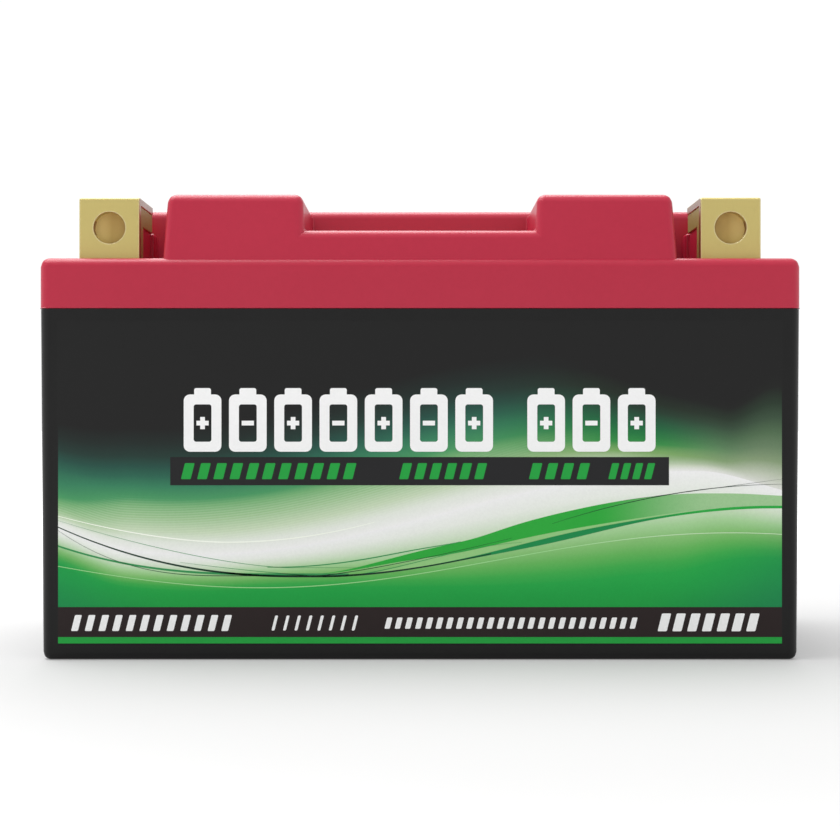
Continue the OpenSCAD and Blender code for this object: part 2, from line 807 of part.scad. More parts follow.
module board_screws() {
    color([0.7, 0.7, 0.72])
        for (sx = [-1, 1], sy = [-1, 1])
            translate([sx * standoff_x, board_y + sy * standoff_y, board_top_z])
                difference() {
                    union() {
                        cylinder(d = 2.1 * board_screw_d, h = 1.8, $fn = ROUND);
                        translate([0, 0, -board_t - 3])
                            cylinder(d = board_screw_d, h = board_t + 3.2, $fn = ROUND);
                    }
                    translate([0, 0, 0.8])
                        cylinder(d = 2.6, h = 2, $fn = 6);
                }
}

// ---------- Balance leads ----------

lead_top_z = board_top_z + 1 + FIT + plug_h;
// Where each lead goes through the insulation sheet
LEAD_HOLES = [[-60, 2], [-cell_pitch, lead_y], [-8, 1.8], [cell_pitch, lead_y], [60, 2]];

// Last stretch of a lead that goes down to a bottom link at x
function drop(x) = [[x, lead_y, 60], [x, lead_y, 20], [x, lead_y - 1, 9.5], [x, 13, 6.6],
                    [x, 8, 6.5], [x, bar_w / 2 + 0.05, 6.5]];

// Hand-placed routes, from the plug to the bar that each lead senses
LEAD_ROUTES = [
    [[-43, 14, lead_top_z], [-43, 14, 88], [-50, 12, 88], [-58, 5, 85], [-60, 2, 81],
     [-60, 2, 77], [-60, 2, cell_top_z + bar_t]],
    concat([[-40.5, 14, lead_top_z], [-40.5, 14, 87.6], [-42, 22, 87], [-40, 27.5, 84],
            [-34.6, 27.5, 78], [-33.4, 22, 76.2], [-33.2, lead_y, 75.8]], drop(-33.2)),
    [[-38, 14, lead_top_z], [-38, 14, 88], [-37.4, 10, 88], [-30, 9, 87.4], [-14, 8.6, 86],
     [-9, 3, 84.6],
     [-8, 0.4, 82.5], [-8, 0.4, 78.5], [-8, 1.8, 76], [-8, 1.8, cell_top_z + bar_t]],
    concat([[-35.5, 14, lead_top_z], [-35.5, 14, 87.4], [-28, 20, 87], [-10, 27.5, 84.5],
            [30, 27.5, 78], [33.1, 22, 76.2], [33.2, lead_y, 75.8]], drop(33.2)),
    [[-33, 14, lead_top_z], [-33, 14, 86.6], [-20, 16, 86.4], [20, 16, 86.2], [52, 12, 85],
     [59, 4, 82], [60, 2, 78], [60, 2, cell_top_z + bar_t]],
];
LEAD_COLOURS = [[0.75, 0.1, 0.1], [0.85, 0.6, 0.1], [0.85, 0.8, 0.2], [0.2, 0.4, 0.7],
                [0.1, 0.1, 0.1]];

module balance_lead(i) {
    color(LEAD_COLOURS[i - 1])
        wire(LEAD_ROUTES[i - 1], lead_d);
}

// ---------- Nodes ----------

case_shell();  // case
lid_shell();  // lid
lid_seal();
front_label();
terminal_plate(-1);  // terminal_plate_positive
terminal_plate(1);  // terminal_plate_negative
terminal_block(-1);  // terminal_block_positive
terminal_block(1);  // terminal_block_negative
terminal_potting(-1);  // terminal_potting_positive
terminal_potting(1);  // terminal_potting_negative
for (i = [0:3]) {
    cell_can(i);
    electrode_roll(i);
    cell_cap(i);
    cap_gasket(i);
    cell_sleeve(i);
}
lower_cell_tray();
upper_cell_frame();
base_foam();
front_foam();
rear_foam();
end_foam(-1);  // left_foam
end_foam(1);  // right_foam
series_link(-cell_pitch, cell_z - bar_t);  // series_link_1
series_link(0, cell_top_z);  // series_link_2
series_link(cell_pitch, cell_z - bar_t);  // series_link_3
busbar(-1);  // positive_busbar
busbar(1);  // negative_busbar
busbar_screws();
busbar_nuts();
insulation_sheet();
circuit_board();
balance_chips();
balance_resistors();
board_capacitors();
lead_socket();
lead_plug();
board_screws();
for (i = [1:5])
    balance_lead(i);
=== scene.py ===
import json
import math

import bmesh
import bpy
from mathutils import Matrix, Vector


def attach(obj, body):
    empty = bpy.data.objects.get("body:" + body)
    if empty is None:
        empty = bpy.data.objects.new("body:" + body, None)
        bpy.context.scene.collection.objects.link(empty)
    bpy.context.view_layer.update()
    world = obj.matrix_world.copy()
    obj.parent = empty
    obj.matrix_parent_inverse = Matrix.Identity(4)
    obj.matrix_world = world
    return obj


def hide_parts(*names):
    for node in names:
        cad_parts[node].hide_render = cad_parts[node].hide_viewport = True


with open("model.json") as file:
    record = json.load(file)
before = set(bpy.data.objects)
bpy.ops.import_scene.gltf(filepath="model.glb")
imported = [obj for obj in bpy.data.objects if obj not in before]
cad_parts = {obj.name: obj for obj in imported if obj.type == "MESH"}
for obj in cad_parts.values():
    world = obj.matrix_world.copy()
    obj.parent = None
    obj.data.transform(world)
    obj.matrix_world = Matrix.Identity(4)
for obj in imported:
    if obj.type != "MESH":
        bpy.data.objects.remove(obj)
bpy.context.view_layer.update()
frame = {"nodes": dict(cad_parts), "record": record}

MM = 0.001

# ---------------------------------------------------------------- sizes, mm
# whole object: half length, half width, top
HALF_L, HALF_W, TOP_Z = 75.0, 32.5, 92.0
# lid: lower edge, shoulder, floor of the middle notch
SEAM_Z, SHOULDER_Z, NOTCH_Z = 69.2, 79.2, 84.8
# case: half length and half width at the seam, half length at the foot, floor thickness
CASE_L, CASE_W, CASE_FOOT_L, CASE_FLOOR = 74.95, 32.45, 74.45, 2.4
# hollow inside the case and the lid: half length, half width, corner radius
HOLLOW_L, HOLLOW_W, HOLLOW_R = 72.45, 30.25, 1.0
# raised part of the lid: slope of its sides, foot, plateau, blocks in front of it
DRAFT = math.tan(math.radians(4.0))
FOOT_Z = SHOULDER_Z - 1.0
PLATEAU_L, PLATEAU_Y0, PLATEAU_Y1 = 73.4, -6.2, 31.7
BLOCK_X0, BLOCK_X1, BLOCK_Y = 22.9, 50.85, -31.7
# thickness of the lid's walls, and the roof of the hollow in its raised part
SKIN, ROOF_Z = 2.2, 89.4
# terminals: middle along the length, and top
TERM_X, TERM_TOP = 62.3, 91.9
# folded plate: half width, front, radius of the fold
PLATE_HALF, PLATE_FRONT, FOLD_R = 6.05, -26.5, 0.6
# solid angle inside it: half width, leg's front and back, end of the arm, arm's height, foot of the tab
BRASS_HALF, LEG_FRONT, LEG_BACK, ARM_BACK = 5.9, -24.5, -21.5, -11.0
ARM_Z0, ARM_Z1, TAB_Z = 86.5, 90.3, 64.0
# the plate's holes: radius, place of the top one, height of the front one
HOLE_R, TOP_HOLE_Y, FRONT_HOLE_Z = 3.2, -18.0, 85.8
# label: half length, lower edge, upper edge, then front face, film thickness, step between inks
LABEL_L, LABEL_Z0, LABEL_Z1 = 71.15, 2.9, 66.6
LABEL_Y, FILM, INK_STEP = -CASE_W, 0.2, 0.006
# middle of the label's pale wave: mean height, rise, start, length of one radian
WAVE_Z, WAVE_RISE, WAVE_X, WAVE_LENGTH = 29.0, 8.2, 5.0, 31.0


# ---------------------------------------------------------------- mesh tools
def new_object(name, mesh, stands_for=()):
    piece = bpy.data.objects.new(name, mesh)
    bpy.context.scene.collection.objects.link(piece)
    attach(piece, "root")
    if stands_for:
        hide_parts(*stands_for)
    return piece


def scratch(mesh):
    """Object used only while building."""
    helper = bpy.data.objects.new("scratch", mesh)
    bpy.context.scene.collection.objects.link(helper)
    return helper


def mesh_from(verts, faces):
    """Mesh from points in mm, with its faces turned outward."""
    mesh = bpy.data.meshes.new("solid")
    mesh.from_pydata([tuple(c * MM for c in v) for v in verts], [], faces)
    mesh.validate()
    bm = bmesh.new()
    bm.from_mesh(mesh)
    bmesh.ops.recalc_face_normals(bm, faces=bm.faces)
    bm.to_mesh(mesh)
    bm.free()
    return mesh


def box(xs, ys, zs, foot=0.0):
    """Box between pairs of x, y and z, with a lower face that is wider by foot at both ends."""
    (x0, x1), (y0, y1), (z0, z1) = xs, ys, zs
    verts = [(x0 - foot, y0, z0), (x1 + foot, y0, z0), (x1 + foot, y1, z0), (x0 - foot, y1, z0),
             (x0, y0, z1), (x1, y0, z1), (x1, y1, z1), (x0, y1, z1)]
    faces = [(3, 2, 1, 0), (4, 5, 6, 7), (0, 1, 5, 4), (1, 2, 6, 5), (2, 3, 7, 6), (3, 0, 4, 7)]
    return mesh_from(verts, faces)


def terminal_box(side, half, ys, zs):
    """Box centred on the terminal at that side, -1 or 1."""
    return box((side * TERM_X - half, side * TERM_X + half), ys, zs)


def between(start, end):
    """Solid between two outlines that have the same number of points."""
    n = len(start)
    faces = [tuple(range(n)), tuple(range(2 * n - 1, n - 1, -1))]
    faces += [(i, (i + 1) % n, n + (i + 1) % n, n + i) for i in range(n)]
    return mesh_from(start + end, faces)


def prism_x(outline, x0, x1):
    """Solid from an outline of (y, z) points."""
    return between([(x0, y, z) for y, z in outline], [(x1, y, z) for y, z in outline])


def prism_y(outline, y0, y1):
    """Solid from an outline of (x, z) points."""
    return between([(x, y0, z) for x, z in outline], [(x, y1, z) for x, z in outline])


def prism_z(outline, centre_x, centre_y, z0, z1):
    """Solid from an outline of (x, y) points round a centre."""
    points = [(centre_x + x, centre_y + y) for x, y in outline]
    return between([(x, y, z0) for x, y in points], [(x, y, z1) for x, y in points])


def turned(profile, centre, axis="Z", sides=96):
    """Turned solid from (radius, height) pairs, along Z, or towards -Y for axis Y."""
    verts, faces = [], []
    for radius, height in profile:
        for k in range(sides):
            a = 2 * math.pi * k / sides
            p = (radius * math.cos(a), radius * math.sin(a), height)
            if axis == "Y":
                p = (p[0], -p[2], p[1])
            verts.append(tuple(p[i] + centre[i] for i in range(3)))
    last = len(profile) - 1
    for i in range(last):
        for k in range(sides):
            j = (k + 1) % sides
            faces.append((i * sides + k, i * sides + j, (i + 1) * sides + j, (i + 1) * sides + k))
    faces.append(tuple(range(sides)))
    faces.append(tuple(last * sides + k for k in range(sides)))
    return mesh_from(verts, faces)


def bake(helper):
    """Applies an object's modifiers and returns the result as a new mesh."""
    depsgraph = bpy.context.evaluated_depsgraph_get()
    mesh = bpy.data.meshes.new_from_object(helper.evaluated_get(depsgraph))
    bpy.data.objects.remove(helper)
    return mesh


def bevel_edges(mesh, radius_of, width, segments):
    """Rounds edges: radius_of(a, b) gives the radius of the edge from a to b, up to width, in mm."""
    bm = bmesh.new()
    bm.from_mesh(mesh)
    weight = bm.edges.layers.float.get("bevel_weight_edge")
    weight = weight or bm.edges.layers.float.new("bevel_weight_edge")
    for edge in bm.edges:
        a, b = edge.verts[0].co / MM, edge.verts[1].co / MM
        edge[weight] = min(1.0, radius_of(a, b) / width)
    bm.to_mesh(mesh)
    bm.free()
    helper = scratch(mesh)
    bevel = helper.modifiers.new("bevel", "BEVEL")
    bevel.limit_method = "WEIGHT"
    bevel.width = width * MM
    bevel.segments = segments
    bevel.profile = 0.5
    bevel.offset_type = "OFFSET"
    bevel.use_clamp_overlap = False
    bevel.miter_outer = "MITER_SHARP"
    rounded = bake(helper)
    left_over = rounded.attributes.get("bevel_weight_edge")
    if left_over:
        rounded.attributes.remove(left_over)
    return rounded


def angle_bevel(mesh, width, segments, limit):
    """Breaks every edge that turns by more than limit degrees."""
    helper = scratch(mesh)
    bevel = helper.modifiers.new("bevel", "BEVEL")
    bevel.limit_method = "ANGLE"
    bevel.angle_limit = math.radians(limit)
    bevel.width = width * MM
    bevel.segments = segments
    bevel.use_clamp_overlap = True
    return bake(helper)


def boolean(mesh, other, how):
    target, tool = scratch(mesh), scratch(other)
    modifier = target.modifiers.new("boolean", "BOOLEAN")
    modifier.operation = how
    modifier.object = tool
    modifier.solver = "EXACT"
    result = bake(target)
    bpy.data.objects.remove(tool)
    return result


def cut(mesh, *others):
    for other in others:
        mesh = boolean(mesh, other, "DIFFERENCE")
    return mesh


def join(mesh, *others):
    for other in others:
        mesh = boolean(mesh, other, "UNION")
    return mesh


def rounded_slab(half_x, half_y, radius, z0, z1):
    """Slab round the middle, with round upright edges."""
    mesh = box((-half_x, half_x), (-half_y, half_y), (z0, z1))
    return bevel_edges(mesh, lambda a, b: radius if abs(a.z - b.z) > 0.1 else 0.0, radius, 4)


def merged(meshes):
    bm = bmesh.new()
    for mesh in meshes:
        bm.from_mesh(mesh)
    result = bpy.data.meshes.new("merged")
    bm.to_mesh(result)
    bm.free()
    return result


def tidy(mesh, angle=30.0):
    """Cleans a finished mesh and makes edges sharper than the angle hard."""
    bm = bmesh.new()
    bm.from_mesh(mesh)
    bmesh.ops.remove_doubles(bm, verts=bm.verts, dist=2e-6)
    bmesh.ops.dissolve_degenerate(bm, edges=bm.edges, dist=1e-6)
    for face in bm.faces:
        face.smooth = True
    bm.to_mesh(mesh)
    bm.free()
    mesh.set_sharp_from_angle(angle=math.radians(angle))
    return mesh


def moulded_piece(name, mesh, slot, node):
    """Finished piece that stands for a CAD node, shaded smoothly over its flats."""
    piece = new_object(name, tidy(mesh), [node])
    piece.data.materials.append(mats[slot])
    normals = piece.modifiers.new("normals", "WEIGHTED_NORMAL")
    normals.keep_sharp = True
    normals.weight = 50


def plus_outline(arm, half):
    """Outline of a plus sign: arm is half its length, half is half its bars' width."""
    return [(-arm, -half), (-half, -half), (-half, -arm), (half, -arm), (half, -half), (arm, -half),
            (arm, half), (half, half), (half, arm), (-half, arm), (-half, half), (-arm, half)]


def minus_outline(arm, half):
    return [(-arm, -half), (arm, -half), (arm, half), (-arm, half)]


# ---------------------------------------------------------------- node tools
def scaled(colour, factor, add=0.0):
    return tuple(min(1.0, c * factor + add) for c in colour)


class Net:
    """Small helper that builds a material's nodes."""

    def __init__(self, name):
        self.material = bpy.data.materials.new(name)
        self.material.use_nodes = True
        self.tree = self.material.node_tree
        self.tree.nodes.clear()
        out = self.add("OutputMaterial")
        self.shader = self.add("BsdfPrincipled")
        self.tree.links.new(self.shader.outputs[0], out.inputs["Surface"])
        self.place = self.add("TexCoord").outputs["Object"]

    def add(self, kind):
        return self.tree.nodes.new("ShaderNode" + kind)

    def put(self, socket, value):
        if isinstance(value, bpy.types.NodeSocket):
            self.tree.links.new(value, socket)
        elif isinstance(value, (tuple, list)) and socket.type == "RGBA" and len(value) == 3:
            socket.default_value = (*value, 1.0)
        else:
            socket.default_value = value

    def set(self, **sockets):
        for name, value in sockets.items():
            self.put(self.shader.inputs[name.replace("_", " ")], value)

    def math(self, operation, a, b=0.0, c=None, clamp=False):
        node = self.add("Math")
        node.operation = operation
        node.use_clamp = clamp
        self.put(node.inputs[0], a)
        self.put(node.inputs[1], b)
        if c is not None:
            self.put(node.inputs[2], c)
        return node.outputs[0]

    def stretched(self, scale):
        node = self.add("Mapping")
        node.inputs["Scale"].default_value = scale
        self.put(node.inputs["Vector"], self.place)
        return node.outputs[0]

    def noise(self, scale, detail, rough=0.5, vector=None):
        node = self.add("TexNoise")
        node.inputs["Scale"].default_value = scale
        node.inputs["Detail"].default_value = detail
        node.inputs["Roughness"].default_value = rough
        self.put(node.inputs["Vector"], vector or self.place)
        return node.outputs["Fac"]

    def voronoi(self, scale, feature="F1"):
        node = self.add("TexVoronoi")
        node.feature = feature
        node.inputs["Scale"].default_value = scale
        self.put(node.inputs["Vector"], self.place)
        return node.outputs["Distance"]

    def remap(self, value, lo, hi, to_lo, to_hi, kind="LINEAR"):
        """Takes lo to to_lo and hi to to_hi, and stays level outside them."""
        node = self.add("MapRange")
        node.interpolation_type = kind
        self.put(node.inputs["Value"], value)
        for name, limit in (("From Min", lo), ("From Max", hi), ("To Min", to_lo), ("To Max", to_hi)):
            self.put(node.inputs[name], limit)
        return node.outputs["Result"]

    def ease(self, value, lo, hi, to_lo, to_hi):
        """The same, with a soft start and end."""
        return self.remap(value, lo, hi, to_lo, to_hi, "SMOOTHSTEP")

    def ramp(self, value, stops):
        node = self.add("ValToRGB")
        node.color_ramp.interpolation = "LINEAR"
        elements = node.color_ramp.elements
        while len(elements) < len(stops):
            elements.new(0.5)
        for element, (position, colour) in zip(elements, stops):
            element.position = position
            element.color = (*colour, 1.0)
        self.put(node.inputs[0], value)
        return node.outputs[0]

    def mix(self, factor, a, b):
        node = self.add("Mix")
        node.data_type = "RGBA"
        self.put(node.inputs["Factor"], factor)
        self.put(node.inputs[6], a)
        self.put(node.inputs[7], b)
        return node.outputs[2]

    def bump(self, height, distance, strength):
        node = self.add("Bump")
        node.inputs["Strength"].default_value = strength
        node.inputs["Distance"].default_value = distance
        self.put(node.inputs["Height"], height)
        return node.outputs[0]

    def axis(self, name, source=None):
        node = self.add("SeparateXYZ")
        self.put(node.inputs[0], source or self.place)
        return node.outputs[name]

    def normal(self):
        return self.add("NewGeometry").outputs["Normal"]

    def edges(self, radius):
        """1 at sharp edges, 0 on flats."""
        bevel = self.add("Bevel")
        bevel.samples = 4
        bevel.inputs["Radius"].default_value = radius
        dot = self.add("VectorMath")
        dot.operation = "DOT_PRODUCT"
        self.put(dot.inputs[0], bevel.outputs[0])
        self.put(dot.inputs[1], self.normal())
        return self.remap(dot.outputs["Value"], 0.995, 0.9, 0.0, 1.0)


# ---------------------------------------------------------------- materials
RED = (0.41, 0.0095, 0.037)
BLACK = (0.0026, 0.0026, 0.0026)
# from here outward, in metres from the middle, the blocks' brass turns brighter: a painted reflection
PAINTED_REFLECTION_FROM, PAINTED_REFLECTION_TO = 0.0621, 0.0663


def plastic(name, colour, rough, grain=0.35, spec=0.5, wear=0.15, depth=1.0, tint=0.06, coat=0.0):
    """Moulded plastic: fine spark-eroded grain, faint flow clouding, polished edges."""
    net = Net(name)
    clouds = net.noise(22.0, 4.0, 0.55)
    fine = net.noise(2600.0 * grain, 2.0, 0.6)
    pits = net.voronoi(1900.0 * grain, "SMOOTH_F1")
    edge = net.edges(0.0006)
    base = net.mix(clouds, scaled(colour, 1 - tint), scaled(colour, 1 + tint, 0.002))
    base = net.mix(net.remap(fine, 0.35, 0.7, 0.0, 0.06), base, scaled(colour, 1.5, 0.01))
    base = net.mix(net.math("MULTIPLY", edge, wear), base, scaled(colour, 1.35, 0.012))
    gloss = net.remap(clouds, 0.3, 0.7, rough - 0.04, rough + 0.05)
    gloss = net.math("SUBTRACT", gloss, net.math("MULTIPLY", edge, 0.1))
    height = net.math("ADD", net.math("MULTIPLY", fine, 0.6), net.math("MULTIPLY", pits, 0.4))
    net.set(Base_Color=base, Roughness=gloss, Normal=net.bump(height, 0.00002 * depth, 0.35),
            Specular_IOR_Level=spec)
    if coat:
        net.set(Coat_Weight=coat, Coat_Roughness=0.2)
    return net.material


def metal(name, colour, rough, stretch=(1, 1, 1), brush=900.0, tarnish=None, wear=0.5, depth=1.0,
          metallic=1.0, stain=0.35, coat=0.0, wear_and_highlight=None, bright=None, painted_side_light=None, painted_arm_side_light=None):
    """Worked metal: fine directional marks, cloudy tarnish and brighter worn edges; a given edge colour
    can add a painted highlight to them.

    The colour given as bright is a painted reflection, lighter towards a block's outer side. The colour
    after it is that of faces that look sideways, a painted reflection on the plate and painted shade on
    the block, and the last one that of the sideways faces of the terminal plate's arm, a painted
    reflection."""
    net = Net(name)
    lines = net.noise(brush, 3.0, 0.65, net.stretched(stretch))
    clouds = net.noise(60.0, 5.0, 0.6)
    spots = net.noise(420.0, 2.0)
    edge = net.edges(0.0004)
    tarnish = tarnish or scaled(colour, 0.72)
    base = net.mix(net.remap(clouds, 0.38, 0.72, 0.0, 0.75), colour, tarnish)
    base = net.mix(net.remap(spots, 0.58, 0.75, 0.0, stain), base, scaled(tarnish, 0.6))
    # painted reflection: the brass turns lighter towards a block's outer side
    if bright:
        outward = net.math("ABSOLUTE", net.axis("X"))
        base = net.mix(net.remap(outward, PAINTED_REFLECTION_FROM, PAINTED_REFLECTION_TO, 0.0, 1.0), base, bright)
    # edges lighter from wear; the terminal plate's near-white edge colour also paints a highlight there
    base = net.mix(net.math("MULTIPLY", edge, wear), base, wear_and_highlight or scaled(colour, 1.25, 0.03))
    # painted reflection and painted shade: faces that look sideways get a colour of their own, and another
    # one above the arm's height
    if painted_side_light:
        sideways = net.math("ABSOLUTE", net.axis("X", net.normal()))
        shade = painted_side_light
        if painted_arm_side_light:
            shade = net.mix(net.math("GREATER_THAN", net.axis("Z"), ARM_Z1 * MM), painted_side_light, painted_arm_side_light)
        shade = net.mix(clouds, shade, scaled(painted_side_light, 0.8))
        base = net.mix(net.math("GREATER_THAN", sideways, 0.9), base, shade)
    gloss = net.remap(lines, 0.3, 0.7, rough - 0.06, rough + 0.08)
    gloss = net.math("ADD", gloss, net.remap(clouds, 0.4, 0.8, 0.0, 0.08))
    gloss = net.math("SUBTRACT", gloss, net.math("MULTIPLY", edge, 0.12))
    net.set(Base_Color=base, Metallic=metallic, Roughness=gloss,
            Normal=net.bump(lines, 0.00001 * depth, 0.5))
    if coat:
        net.set(Coat_Weight=coat, Coat_Roughness=0.15)
    return net.material


def foam():
    """Closed-cell foam: small round cells, no gloss."""
    net = Net("closed_cell_foam")
    cells = net.voronoi(900.0)
    soft = net.noise(120.0, 4.0)
    base = net.mix(net.remap(cells, 0.0, 0.6, 0.0, 1.0), (0.02, 0.02, 0.022), (0.07, 0.07, 0.075))
    net.set(Base_Color=base, Roughness=net.remap(soft, 0.3, 0.7, 0.8, 0.95),
            Normal=net.bump(cells, 0.0002, 0.8), Specular_IOR_Level=0.2)
    return net.material


mats = {
    "red_lid": plastic("crimson_moulded_plastic", RED, 0.34, spec=0.4, wear=0.1, depth=0.12, tint=0.03),
    "black_case": plastic("black_moulded_plastic", BLACK, 0.4, spec=0.25, wear=0.2, depth=0.8, tint=0.1),
    "sealant": plastic("sealant_bead", (0.1, 0.1, 0.1), 0.6, grain=0.2),
    "potting": plastic("potting_resin", (0.015, 0.015, 0.017), 0.3, grain=0.1, coat=0.3),
    "dark_plastic": plastic("glass_filled_nylon", (0.03, 0.03, 0.033), 0.55, depth=2.0),
    "cell_sleeve": plastic("shrink_sleeve", (0.02, 0.12, 0.4), 0.35, grain=0.15, coat=0.2),
    "electrode": metal("wound_electrodes", (0.06, 0.06, 0.065), 0.55, (1, 1, 60), 200.0, metallic=0.3),
    "cell_steel": metal("nickel_plated_steel", (0.6, 0.61, 0.63), 0.3, (8, 8, 0.5)),
    "nickel_bar": metal("nickel_strip", (0.66, 0.64, 0.58), 0.32, (0.5, 10, 10)),
    "copper_bar": metal("bare_copper", (0.72, 0.32, 0.17), 0.34, (0.5, 10, 10), tarnish=(0.4, 0.16, 0.09)),
    "steel_screw": metal("zinc_plated_steel", (0.52, 0.52, 0.54), 0.35, (3, 3, 3)),
    "insulation_sheet": plastic("fibre_sheet", (0.35, 0.5, 0.38), 0.6, grain=0.25, depth=2.0),
    "circuit_board": plastic("green_solder_mask", (0.01, 0.12, 0.04), 0.3, grain=0.15, coat=0.4),
    "chip": plastic("chip_epoxy", (0.012, 0.012, 0.013), 0.5, grain=0.4),
    "capacitor": plastic("ceramic_capacitor", (0.4, 0.25, 0.12), 0.45, grain=0.3),
    "white_plastic": plastic("natural_nylon", (0.8, 0.77, 0.68), 0.42),
    "foam": foam(),
    "terminal_brass": metal(
        "formed_brass_sheet", (0.565, 0.47, 0.165), 0.4, (6, 6, 0.6), 700.0, tarnish=(0.55, 0.45, 0.155),
        # near-white edge colour: wear and a painted highlight
        wear=0.6, depth=0.4, metallic=0.75, stain=0.06, coat=0.35, wear_and_highlight=(0.92, 0.88, 0.62),
        # painted reflection on the plate's sideways faces: dark brown below the arm's top, lilac grey
        # above it
        painted_side_light=(0.3, 0.14, 0.03), painted_arm_side_light=(0.34, 0.22, 0.2)),
    "inner_brass": metal(
        "machined_brass", (0.46, 0.305, 0.08), 0.5, (6, 0.6, 6), 700.0, tarnish=(0.42, 0.275, 0.07),
        # painted reflection: the block's brass lighter towards its outer side; painted shade: its sideways
        # faces darker and greener
        wear=0.2, metallic=0.1, stain=0.1, bright=(0.8, 0.61, 0.22), painted_side_light=(0.32, 0.27, 0.07)),
}
for lead, colour in (("red", (0.5, 0.02, 0.02)), ("orange", (0.6, 0.2, 0.02)),
                     ("yellow", (0.65, 0.5, 0.03)), ("blue", (0.03, 0.1, 0.4)),
                     ("black", (0.015, 0.015, 0.015))):
    mats[lead + "_lead"] = plastic(lead + "_wire_skin", colour, 0.4, grain=0.2)


# ---------------------------------------------------------------- lid
def skirt_mesh():
    """Lower band of the lid, down to the seam."""
    mesh = box((-HALF_L, HALF_L), (-HALF_W, HALF_W), (SEAM_Z, SHOULDER_Z))
    corner, shoulder, seam = 2.0, 1.8, 0.25

    def radius_of(a, b):
        if abs(a.z - b.z) > 1:
            return corner
        return shoulder if a.z > SEAM_Z + 1 else seam

    return bevel_edges(mesh, radius_of, corner, 7)


def raised_mesh():
    """Plateau, two blocks and the bridge, as one drafted solid with rounded edges."""
    verts, index = [], {}

    def point(key, x, y, z):
        index[key] = len(verts)
        verts.append((x, y, z))

    # a is the foot and c the top; 2 and 3 are a block's outer corners, 4 and 5 the plateau's
    for level, z in (("a", FOOT_Z), ("c", TOP_Z)):
        inset = (z - SHOULDER_Z) * DRAFT
        for sign, side in ((1, "r"), (-1, "l")):
            point(level + "2" + side, sign * (BLOCK_X1 - inset), BLOCK_Y + inset, z)
            point(level + "3" + side, sign * (BLOCK_X1 - inset), PLATEAU_Y0 + inset, z)
            point(level + "4" + side, sign * (PLATEAU_L - inset), PLATEAU_Y0 + inset, z)
            point(level + "5" + side, sign * (PLATEAU_L - inset), PLATEAU_Y1 - inset, z)
    # b is the notch's floor and n its top; f is its front and b its back
    for level, z, widen in (("b", NOTCH_Z, 0.0), ("n", TOP_Z, 0.3)):
        inset = (z - SHOULDER_Z) * DRAFT
        for sign, side in ((1, "r"), (-1, "l")):
            point(level + "f" + side, sign * (BLOCK_X0 + widen), BLOCK_Y + inset, z)
            point(level + "b" + side, sign * (BLOCK_X0 + widen), PLATEAU_Y0 + inset, z)
    faces = [
        ["a2l", "a2r", "c2r", "nfr", "bfr", "bfl", "nfl", "c2l"],
        ["bfr", "nfr", "nbr", "bbr"], ["bfl", "bbl", "nbl", "nfl"],
        ["bfl", "bfr", "bbr", "bbl"], ["bbl", "bbr", "nbr", "nbl"],
        ["c2l", "nfl", "nbl", "nbr", "nfr", "c2r", "c3r", "c4r", "c5r", "c5l", "c4l", "c3l"],
        ["a2r", "a3r", "c3r", "c2r"], ["a3r", "a4r", "c4r", "c3r"], ["a4r", "a5r", "c5r", "c4r"],
        ["a5r", "a5l", "c5l", "c5r"],
        ["a2l", "c2l", "c3l", "a3l"], ["a3l", "c3l", "c4l", "a4l"], ["a4l", "c4l", "c5l", "a5l"],
        ["a2l", "a3l", "a4l", "a5l", "a5r", "a4r", "a3r", "a2r"],
    ]
    mesh = mesh_from(verts, [tuple(index[key] for key in face) for face in faces])

    # radius of each edge, by its two points
    top, biggest = 1.7, 2.0
    radii = {("bfl", "bfr"): 1.7, ("bbl", "bbr"): 0.6}
    for side in "lr":
        for ends, radius in ((("a2", "c2"), 1.5), (("a3", "c3"), 1.6), (("a4", "c4"), 1.6),
                             (("a5", "c5"), 1.8), (("bf", "nf"), 1.4), (("bb", "nb"), 0.5),
                             (("bf", "bb"), 0.6)):
            radii[(ends[0] + side, ends[1] + side)] = radius

    def near(p, key):
        return (p - Vector(verts[index[key]])).length < 0.02

    def radius_of(a, b):
        for (p, q), radius in radii.items():
            if (near(a, p) and near(b, q)) or (near(a, q) and near(b, p)):
                return radius
        if abs(a.z - TOP_Z) < 0.01 and abs(b.z - TOP_Z) < 0.01:
            return top
        return 0.0

    return bevel_edges(mesh, radius_of, biggest, 6)


def pedestal_mesh(side):
    """Plastic under a terminal's arm: a narrow span, and a wider end behind the arm."""
    span_half, end_half = 5.575, 6.4
    span_y, end_y, zs = (-21.4, -9.6), (ARM_BACK, -7.4), (FOOT_Z, ARM_Z0)
    rear_top, top, upright = 1.2, 0.6, 0.3

    def radius_of(a, b):
        if a.z > ARM_Z0 - 0.5 and b.z > ARM_Z0 - 0.5:
            return rear_top if a.y > -9 and b.y > -9 else top
        return upright if abs(a.z - b.z) > 1 else 0.0

    end = bevel_edges(terminal_box(side, end_half, end_y, zs), radius_of, rear_top, 5)
    return join(terminal_box(side, span_half, span_y, zs), end)


def sign_cutters():
    """Plus and minus, as bars sunk in the plateau behind the terminals."""
    y, arm, half = PLATEAU_Y0 + 12, 3.5, 0.8
    floor, above = TOP_Z - 0.5, TOP_Z + 1
    return [prism_z(plus_outline(arm, half), -TERM_X, y, floor, above),
            prism_z(minus_outline(arm, half), TERM_X, y, floor, above)]


